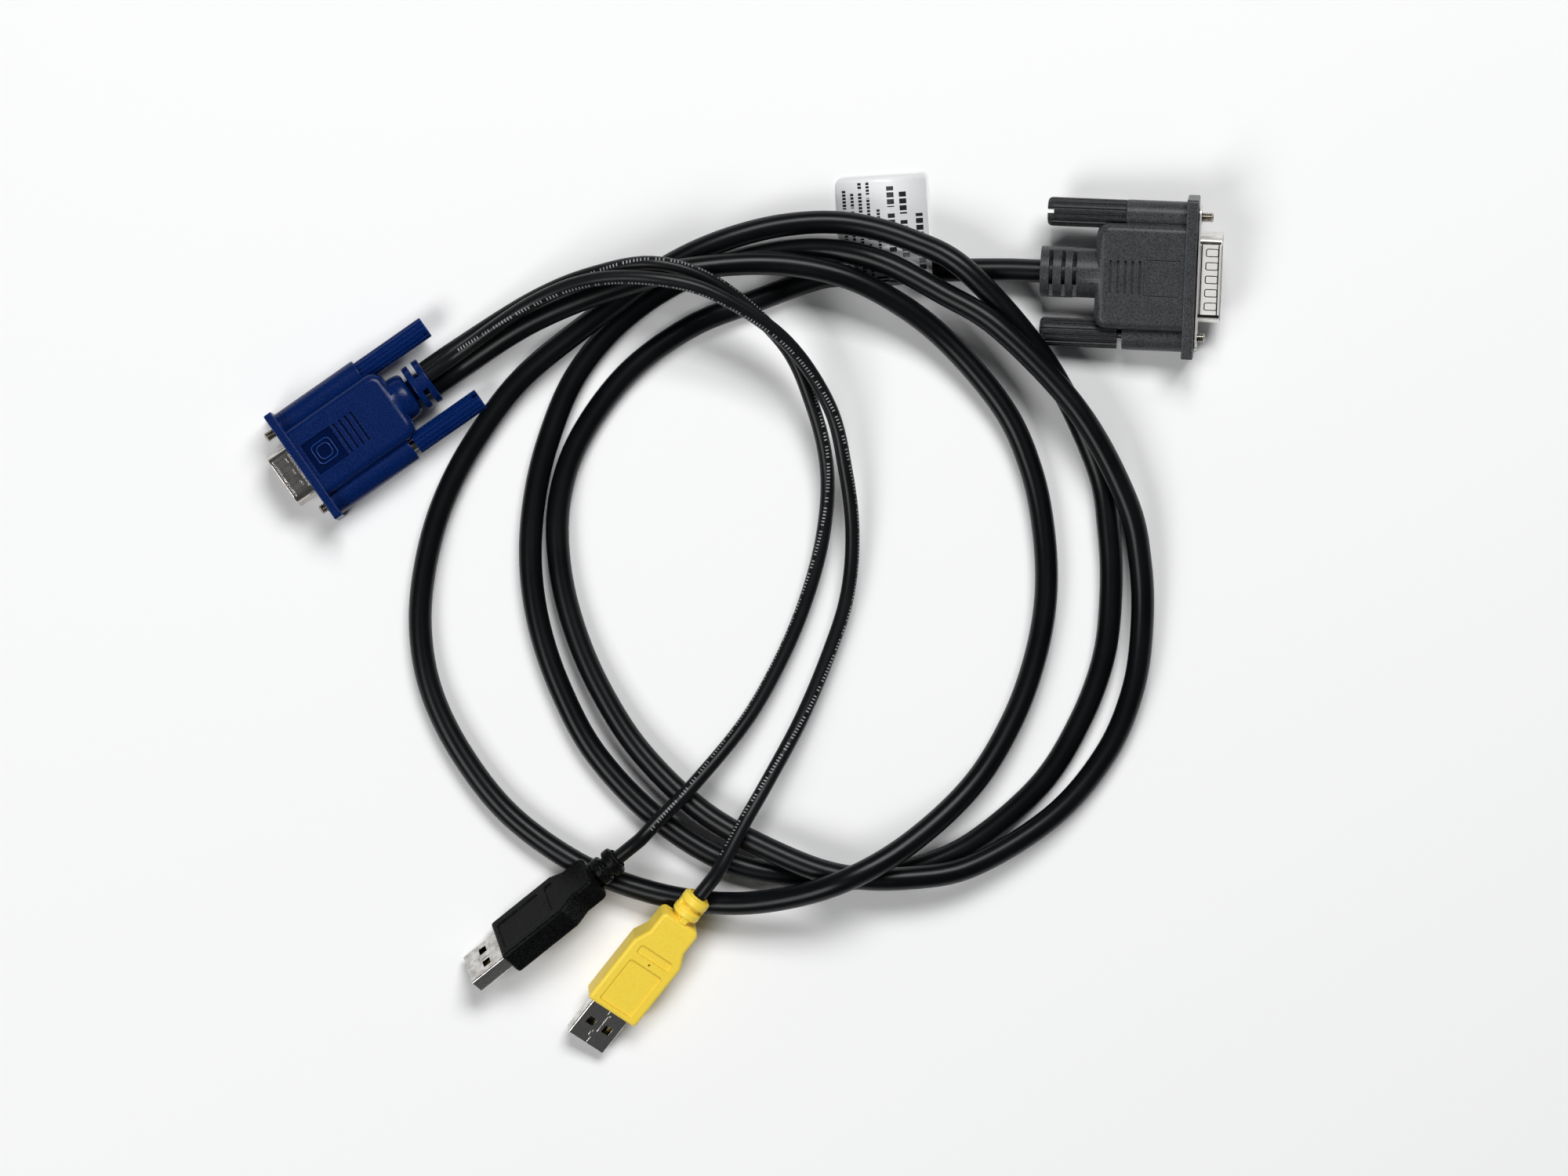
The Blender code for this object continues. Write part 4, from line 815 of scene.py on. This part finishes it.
def thread_profile(tip, rear):
    """The shaft's outline from its pointed tip, over the thread, to its end in the knob."""
    profile = [(tip, TIP_RADIUS)]
    x = tip - TIP_CONE
    while x > THREAD_START:
        profile += [(x, SHAFT_RADIUS), (x - THREAD_PITCH / 2, SHAFT_RADIUS - THREAD_DEPTH)]
        x -= THREAD_PITCH
    return profile + [(x, SHAFT_RADIUS), (rear, SHAFT_RADIUS)]


charcoal_knob_skin = moulded_skin("charcoal_knob_skin", (0.012, 0.0125, 0.0135), (0.034, 0.035, 0.038),
                                  gloss=0.34, grain_depth=0.05 * MM)
steel = plated_metal("turned_steel", (0.42, 0.395, 0.355), gloss=0.16, blotch=0.3)
for plug, sizes, placing, skin, slot, end_round, slot_turns in (
        ("blue", DE_PLUG, blue_plug, blue_skin, "blue_plastic", 0.3 * MM, (-38.0, 30.0)),
        ("black", DA_PLUG, black_plug, charcoal_knob_skin, "charcoal_plastic", 1.3 * MM, (12.0, -8.0))):
    column_end = -sizes["flange"][0] - sizes["column"][0]
    knob_long, knob_wide = sizes["knob"]
    for number, label in enumerate("ab"):
        body = f"{plug}_screw_{label}"
        side = 2 * number - 1
        set_in = placing @ Matrix.Translation((0.0, side * sizes["screw_span"] / 2, 0.0))
        gap = sizes["gaps"][number]
        rear = column_end - gap - knob_long
        front = column_end - (gap if gap > FIT_GAP else KNOB_CLEARANCE)
        shaft = turned(thread_profile(sizes["tips"][number], front - SHAFT_IN_KNOB), 32)
        fit_piece(f"{plug}_steel_shaft_{label}", shaft, set_in, steel, "steel_shaft",
                  f"{plug}_shaft_{label}", body=body)
        bore = rod(front - SHAFT_IN_KNOB - FIT_GAP, front + OVERRUN, 0.0, SHAFT_RADIUS + BORE_PLAY,
                   sides=32)
        screwdriver_slot = slab(rear - OVERRUN, rear + KNOB_SLOT[1], KNOB_SLOT[0], 2 * knob_wide)
        bmesh.ops.rotate(screwdriver_slot, verts=screwdriver_slot.verts, cent=(0, 0, 0),
                         matrix=Matrix.Rotation(math.radians(slot_turns[number]), 3, "X"))
        knob = formed("knob", knob_shape(front, rear, knob_wide, end_round), (),
                      (bore, screwdriver_slot))
        fit_piece(f"{plug}_ribbed_knob_{label}", knob, set_in, skin, slot, f"{plug}_knob_{label}",
                  body=body)


# D shells: nickel- or tin-plated sheet steel, drawn to the D shape with a flange plate and
# with pressed tabs that grip the socket. Behind the mouth a black insulator holds the gold-plated pins.
SHELL_REACH = 6.0 * MM
PLATE_THICKNESS = 0.5 * MM
PLATE_HEIGHT = 12.5 * MM
PLATE_CORNER = 1.5 * MM
FRAME_START = 0.35 * MM
FRAME_END = 5.3 * MM
FRAME_INSET = 2.6 * MM
TAB_START = 1.6 * MM
TAB_LENGTH = 3.6 * MM
TAB_WIDTH = 2.3 * MM
TAB_PITCH = 3.7 * MM
PIN_RADIUS = 0.4 * MM
PIN_PITCH = 2.29 * MM
PIN_ROW = 1.98 * MM
PIN_INSET = 0.9 * MM
PIN_START = -4.0 * MM
PIN_ROUND = 0.16 * MM
MOUTH_ROUND = 0.18 * MM
TAB_DEPTH = 0.16 * MM
FRAME_DEPTH = 0.12 * MM
PRESSED_CORNER = 0.6 * MM
TAB_LINE = 0.26 * MM
FRAME_LINE = 0.3 * MM
FACES_INWARD = 0.2

nickel = plated_metal("nickel_plate", (0.70, 0.67, 0.63), gloss=0.16, blotch=0.3)
tin = plated_metal("tin_plate", (0.94, 0.92, 0.89), gloss=0.40, blotch=0.12)
# Near-black metal for the shell's inside faces: painted shade inside the D shell.
inside_shade_metal = plated_metal("shell_inside_painted_shade", (0.035, 0.033, 0.03), gloss=0.45, blotch=0.3)
gold = plated_metal("gold_plate", (0.86, 0.63, 0.26), gloss=0.2, blotch=0.12)
insulator_plastic = moulded_skin("black_insulator_plastic", (0.006, 0.006, 0.0065), (0.012, 0.012, 0.013),
                                 gloss=0.45, grain_depth=0.03 * MM, grain_scale=1800.0,
                                 specular=0.25, edge_light=1.8)
for plug, sizes, placing, plate_back, plate_finish, dark_depth, tab_count, rows, contact_nodes in (
        ("blue", DE_PLUG, blue_plug, -PLATE_THICKNESS, nickel, SHELL_WALL - 0.1 * MM, 3,
         ((5, 0.25, -1), (5, -0.25, 0), (5, 0.25, 1)), [f"blue_contact_{n:02d}" for n in range(1, 16)]),
        ("black", DA_PLUG, black_plug, FIT_GAP, tin, 0.05 * MM, 5,
         ((9, 0.0, -1), (9, 0.5, 0), (8, 0.5, 1)), ["black_contacts"])):
    plate_front = plate_back + PLATE_THICKNESS
    mouth = plate_front + SHELL_REACH
    plate = slab(plate_back, plate_front, 2 * sizes["plate_half"], PLATE_HEIGHT, PLATE_CORNER, "x", 4)
    tube = d_block(sizes, 0.0, plate_back + PLATE_THICKNESS / 2, mouth)
    rim = [e for e in tube.edges if all(v.co.x > mouth - SOFT_EDGE for v in e.verts)]
    bevel(tube, rim, MOUTH_ROUND, 2)
    cut = [d_block(sizes, SHELL_WALL, plate_back - OVERRUN, mouth + OVERRUN)]
    for side in (-1, 1):
        cut.append(rod(plate_back - OVERRUN, plate_front + OVERRUN, side * sizes["screw_span"] / 2,
                       SHAFT_RADIUS + FIT_GAP, sides=32))
    for k in range(tab_count):
        y = (k - (tab_count - 1) / 2) * TAB_PITCH
        middle = plate_front + TAB_START + TAB_LENGTH / 2, y, SHELL_HEIGHT / 2 - TAB_DEPTH
        cut.append(square_ring(middle, (TAB_LENGTH, TAB_WIDTH), PRESSED_CORNER, TAB_LINE, OVERRUN))
    middle = plate_front + (FRAME_START + FRAME_END) / 2, 0.0, SHELL_HEIGHT / 2 - FRAME_DEPTH
    narrow_side = sizes["shell_width"] - 2 * SHELL_HEIGHT * math.tan(SHELL_SLANT)
    cut.append(square_ring(middle, (FRAME_END - FRAME_START, narrow_side - FRAME_INSET), PRESSED_CORNER,
                           FRAME_LINE, OVERRUN))
    shell_mesh = formed("shell", plate, (tube,), cut)
    # The inside faces, more than dark_depth below the shell's top, get the near-black metal as painted
    # shade.
    inside = [face.index for face in shell_mesh.polygons
              if abs(face.center.z) < SHELL_HEIGHT / 2 - dark_depth
              and (abs(face.normal.z) > FLAT_FACE
                   or face.normal.y * face.center.y < -FACES_INWARD * abs(face.center.y))]
    shell_piece = fit_piece(plug + "_drawn_shell", shell_mesh, placing, plate_finish, "nickel_shell",
                            plug + "_front_shell")
    paint_shade_on_faces(shell_piece, inside_shade_metal, inside)
    nodes[plug + "_insulator"].material_slots[0].material = insulator_plastic
    pins = bmesh.new()
    for count, shift, row in rows:
        for k in range(count):
            y = ((k - (count - 1) / 2) + shift) * PIN_PITCH
            pin = rod(PIN_START, mouth - PIN_INSET, y, PIN_RADIUS, PIN_ROUND, 20)
            bmesh.ops.translate(pin, verts=pin.verts, vec=(0.0, 0.0, row * PIN_ROW))
            pin_mesh = as_mesh("pin", pin)
            pins.from_mesh(pin_mesh)
            bpy.data.meshes.remove(pin_mesh)
    fit_piece(plug + "_gold_pins", pins, placing, gold, "gold_contact", *contact_nodes)


# USB plugs: soft PVC moulded over the plug and the cable end, with a recessed panel and bar
# on both broad faces and a knuckled strain relief of two discs tied by bridges.
USB_BODY = mm(21.6, 16.0, 8.0)
USB_TAPER = ((4.2 * MM, 0.75), (7.0 * MM, 1.0))
USB_REAR_CORNER = 1.7 * MM
USB_EDGE = 1.0 * MM
USB_PANEL = mm(-1.8, -16.4, 10.8)
USB_BAR = mm(-18.7, -21.6, 10.8)
USB_PANEL_DEPTH = 0.4 * MM
USB_RELIEF = 7.7 * MM
USB_DISC = mm(8.0, 2.5)
USB_NECK = 5.6 * MM
USB_SHELL = mm(12.0, 4.5, 0.3)
USB_SHELL_SEAT = 5.0 * MM
USB_SHELL_REACH = 11.7 * MM
USB_WINDOW = 2.4 * MM
USB_WINDOW_SPAN = 5.3 * MM
USB_WINDOW_BACK = 6.2 * MM
USB_SEAM = ((-1.0, 1.5, 0.0), (1.5, 1.9, 0.9), (1.9, 7.4, 0.5), (7.4, 8.0, -0.5), (8.0, 9.6, -0.9),
            (9.6, 13.0, 0.0))
SEAM_WIDTH = 0.22 * MM
SEAM_DEPTH = 0.2 * MM
USB_DISC_ROUND = 0.6 * MM
USB_BRIDGE = mm(2.2, 7.6)  # width, height
USB_BRIDGE_ROUND = 0.3 * MM
USB_PANEL_CORNER = 0.8 * MM
USB_VENT = mm(0.35, 2.0)  # radius, length
USB_FOLD = 0.5 * MM
USB_FOLD_INSIDE = 0.25 * MM
USB_WINDOW_CORNER = 0.15 * MM


def seam_cutters(top):
    """Narrow cutters for the folded shell's interlocked seam: runs along the plug, and the
    steps between them across it."""
    half = SEAM_WIDTH / 2
    runs = []
    previous = USB_SEAM[0][2]
    for start, end, y in USB_SEAM:
        if y != previous:
            low, high = sorted((previous, y))
            runs.append((start * MM - half, start * MM + half, low, high))
        runs.append((start * MM, end * MM, y, y))
        previous = y
    return [block((x_start, low * MM - half, top - SEAM_DEPTH), (x_end, high * MM + half, top + OVERRUN))
            for x_start, x_end, low, high in runs]


def usb_overmould(name, bridge_turn):
    """Body that tapers to a narrower rear, and two discs on the neck joined by bridges."""
    long, wide, high = USB_BODY
    body = slab(-long, 0.0, wide, high)
    for run, share in USB_TAPER:
        back = min(body.faces, key=lambda face: face.calc_center_median().x)
        made = bmesh.ops.extrude_face_region(body, geom=[back])
        moved = new_verts(made)
        bmesh.ops.delete(body, geom=[back], context="FACES_ONLY")
        for vert in moved:
            vert.co.x -= run
            vert.co.y *= share
        body.normal_update()
    rear_end = -long - sum(run for run, share in USB_TAPER)
    rear = [e for e in body.edges if direction(e) == "z" and e.verts[0].co.x < rear_end + SOFT_EDGE]
    bevel(body, rear, USB_REAR_CORNER, 4)
    soften(body, USB_EDGE, 4)
    disc_wide, disc_long = USB_DISC
    gap = USB_RELIEF / 2 - disc_long
    profile = [(rear_end + 2 * OVERRUN, USB_NECK / 2)]
    x = rear_end - gap
    for _ in range(2):
        profile += [(x, USB_NECK / 2), (x, disc_wide / 2), (x - disc_long, disc_wide / 2),
                    (x - disc_long, USB_NECK / 2)]
        x -= disc_long + gap
    profile.append((USB_FACE, USB_NECK / 2))
    joined = [soften(turned(profile), USB_DISC_ROUND, 4)]
    for number in range(2):
        start = rear_end + SOFT_EDGE - number * (gap + disc_long)
        bridge = slab(start - gap - 2 * SOFT_EDGE, start, *USB_BRIDGE, USB_BRIDGE_ROUND)
        bmesh.ops.rotate(bridge, verts=bridge.verts, cent=(0, 0, 0),
                         matrix=Matrix.Rotation(math.radians(bridge_turn + 90 * number), 3, "X"))
        joined.append(bridge)
    cut = [slab(-USB_SHELL_SEAT - FIT_GAP, OVERRUN, USB_SHELL[0] + 2 * FIT_GAP,
                USB_SHELL[1] + 2 * FIT_GAP)]
    for side in (-1, 1):
        face = side * high / 2
        low, top = sorted((face - side * USB_PANEL_DEPTH, face + side * OVERRUN))
        for front, back, across in (USB_PANEL, USB_BAR):
            cut.append(block((back, -across / 2, low), (front, across / 2, top), USB_PANEL_CORNER, "z", 4))
        vent_place = Matrix.Translation(((USB_PANEL[1] + USB_BAR[0]) / 2, 0.0, face))
        cut.append(cylinder(vent_place, *USB_VENT, 20))
    return formed(name, body, joined, cut)


charcoal_usb_skin = moulded_skin("charcoal_usb_skin", (0.0016, 0.0018, 0.0019), (0.0070, 0.0074, 0.0074),
                                 gloss=0.30, grain_depth=0.05 * MM, grain_scale=1700.0,
                                 specular=0.07, edge_light=6.0)
yellow_skin = moulded_skin("yellow_usb_skin", (0.98, 0.69, 0.062), (1.0, 0.75, 0.085), gloss=0.38,
                           grain_depth=0.03 * MM, grain_scale=2000.0, specular=0.3, edge_light=0.7)
# The USB contacts take a dark gold: painted shade under the shell, where little light reaches.
shaded_gold = plated_metal("gold_plate_painted_shade", (0.30, 0.21, 0.08), gloss=0.3, blotch=0.2)
bright_shell = plated_metal("usb_shell_plate", (0.70, 0.68, 0.65), gloss=0.2, blotch=0.45, specks=0.2)
for plug, placing, skin, slot, bridge_turn in (
        ("usb_black", usb_black_plug, charcoal_usb_skin, "charcoal_usb_plastic", 20.0),
        ("usb_yellow", usb_yellow_plug, yellow_skin, "yellow_usb_plastic", 0.0)):
    fit_piece(plug + "_moulding", usb_overmould(plug, bridge_turn), placing, skin, slot,
              plug + "_overmould")
    wide, high, wall = USB_SHELL
    tube = slab(-USB_SHELL_SEAT, USB_SHELL_REACH, wide, high, USB_FOLD, "x", 4)
    cut = [slab(-USB_SHELL_SEAT - OVERRUN, USB_SHELL_REACH + OVERRUN, wide - 2 * wall, high - 2 * wall,
                USB_FOLD_INSIDE, "x", 3)]
    for side in (-1, 1):
        y = side * USB_WINDOW_SPAN / 2
        middle = USB_SHELL_REACH - USB_WINDOW_BACK
        cut.append(block((middle - USB_WINDOW / 2, y - USB_WINDOW / 2, -high),
                         (middle + USB_WINDOW / 2, y + USB_WINDOW / 2, high), USB_WINDOW_CORNER, "z", 2))
    cut += seam_cutters(high / 2)
    fit_piece(plug + "_folded_shell", formed(plug, tube, (), cut), placing, bright_shell,
              "nickel_shell", plug + "_shell")
    nodes[plug + "_tongue"].material_slots[0].material = insulator_plastic
    for number in range(1, 5):
        nodes[f"{plug}_contact_{number}"].material_slots[0].material = shaded_gold


# Flag label: white glossy film folded round the thick cable, its two halves stuck together.
# Lines of plain dashes, without words, are printed on the flag.
LABEL_WIDTH = 25.0 * MM
LABEL_REACH = 27.0 * MM
LABEL_LOOP = 3.95 * MM
LABEL_FILM = 0.14 * MM
LABEL_CENTRE = Vector(mm(40.0, 97.1, 4.9)) + ORIGIN_SHIFT
LABEL_TURN = math.radians(3.6)
LABEL_LOW = -4.33 * MM
LABEL_CORNER = 1.6 * MM
FLAG_ROOTS = mm(5.0, 6.6)
FLAG_BULGE = 0.35 * MM
FLAG_GAP = 0.2 * MM
FLAG_STEPS = 12
LOOP_START = math.radians(-60.0)
LOOP_SWEEP = math.radians(285.0)
LOOP_STEPS = 24
LABEL_WORD = 6.3 * MM
LABEL_LETTER = 0.95 * MM
LABEL_TALL_LINES = 13.0 * MM
PRINT_LINES = tuple((from_left * MM, high * MM, end * MM) for from_left, high, end in (
    (2.0, 0.9, 23.6), (4.2, 0.9, 22.7), (6.4, 0.9, 25.5), (8.6, 0.9, 25.7), (11.2, 0.9, 18.3),
    (14.8, 2.0, 24.0), (18.2, 2.0, 22.4), (22.5, 2.0, 16.1)))


def printed_film():
    """White glossy film with eight lines of plain dark dashes that run out along the flag. A
    ramp across the flag holds how far each line reaches, and is zero between the lines."""
    material, tree, shader, place = start_material("printed_label_film")
    lay = tree.nodes.new("ShaderNodeMapping")
    lay.vector_type = "TEXTURE"
    set_inputs(lay, {"Vector": place, "Location": LABEL_CENTRE, "Rotation": (0.0, 0.0, LABEL_TURN),
                     "Scale": (LABEL_WIDTH, LABEL_REACH, 1.0)})
    axes = set_inputs(tree.nodes.new("ShaderNodeSeparateXYZ"), {"Vector": lay.outputs["Vector"]})

    def reckon(operation, *values):
        node = tree.nodes.new("ShaderNodeMath")
        node.operation = operation
        return set_inputs(node, dict(enumerate(values))).outputs["Value"]

    reach = tree.nodes.new("ShaderNodeValToRGB")
    reach.color_ramp.interpolation = "CONSTANT"
    reach.color_ramp.elements.remove(reach.color_ramp.elements[1])
    reach.color_ramp.elements[0].color = (0.0, 0.0, 0.0, 1.0)
    for from_left, high, end in PRINT_LINES:
        for position, value in ((from_left - high / 2, end / LABEL_REACH), (from_left + high / 2, 0.0)):
            stop = reach.color_ramp.elements.new(position / LABEL_WIDTH)
            stop.color = (value, value, value, 1.0)
    across = reckon("ADD", axes.outputs["X"], 0.5)
    line_end = set_inputs(reach, {"Fac": across}).outputs["Color"]
    printed = reckon("GREATER_THAN", line_end, axes.outputs["Y"])
    tall = reckon("GREATER_THAN", across, LABEL_TALL_LINES / LABEL_WIDTH)
    for length, share, shift in ((LABEL_WORD, 0.86, 31.0), (LABEL_LETTER, 0.74, 0.0)):
        pace = reckon("MULTIPLY_ADD", tall, -0.5 * LABEL_REACH / length, LABEL_REACH / length)
        run = reckon("MULTIPLY_ADD", axes.outputs["Y"], pace, reckon("MULTIPLY", line_end, shift))
        printed = reckon("MULTIPLY", printed, reckon("LESS_THAN", reckon("FRACT", run), share))
    shine = remap(noise(place, Scale=160.0), (0.0, 1.0), (0.18, 0.34))
    ink = add_ramp(printed, (0.0, (0.88, 0.89, 0.90)), (1.0, (0.02, 0.02, 0.021)))
    set_inputs(shader, {"Base Color": ink, "Roughness": shine})
    return material


shares = [k / FLAG_STEPS for k in range(FLAG_STEPS + 1)]
film_line = [(LABEL_REACH - share * (LABEL_REACH - FLAG_ROOTS[0]),
              LABEL_LOW + FLAG_BULGE * math.sin(math.pi * share)) for share in shares]
for k in range(LOOP_STEPS + 1):
    angle = LOOP_START - k / LOOP_STEPS * LOOP_SWEEP
    film_line.append((LABEL_LOOP * math.cos(angle), LABEL_LOOP * math.sin(angle)))
film_line += [(FLAG_ROOTS[1] + share * (LABEL_REACH - FLAG_ROOTS[1]),
               LABEL_LOW + FLAG_GAP + FLAG_BULGE * math.sin(math.pi * (1 - share))) for share in shares]
bm = bmesh.new()
line_verts = [bm.verts.new((-LABEL_WIDTH / 2, y, z)) for y, z in film_line]
line_edges = [bm.edges.new(pair) for pair in zip(line_verts, line_verts[1:])]
made = bmesh.ops.extrude_edge_only(bm, edges=line_edges)
bmesh.ops.translate(bm, verts=new_verts(made), vec=(LABEL_WIDTH, 0.0, 0.0))
corners = [v for v in bm.verts if abs(v.co.y - LABEL_REACH) < 0.001 * MM]
bmesh.ops.bevel(bm, geom=corners, offset=LABEL_CORNER, segments=5, profile=0.5, affect="VERTICES",
                material=-1)
label_placing = Matrix.Translation(LABEL_CENTRE) @ Matrix.Rotation(LABEL_TURN, 4, "Z")
label_piece = fit_piece("folded_label", bm, label_placing, printed_film(), "label_film", "flag_label")
film = label_piece.modifiers.new("film", "SOLIDIFY")
film.thickness = LABEL_FILM
film.offset = 0.0
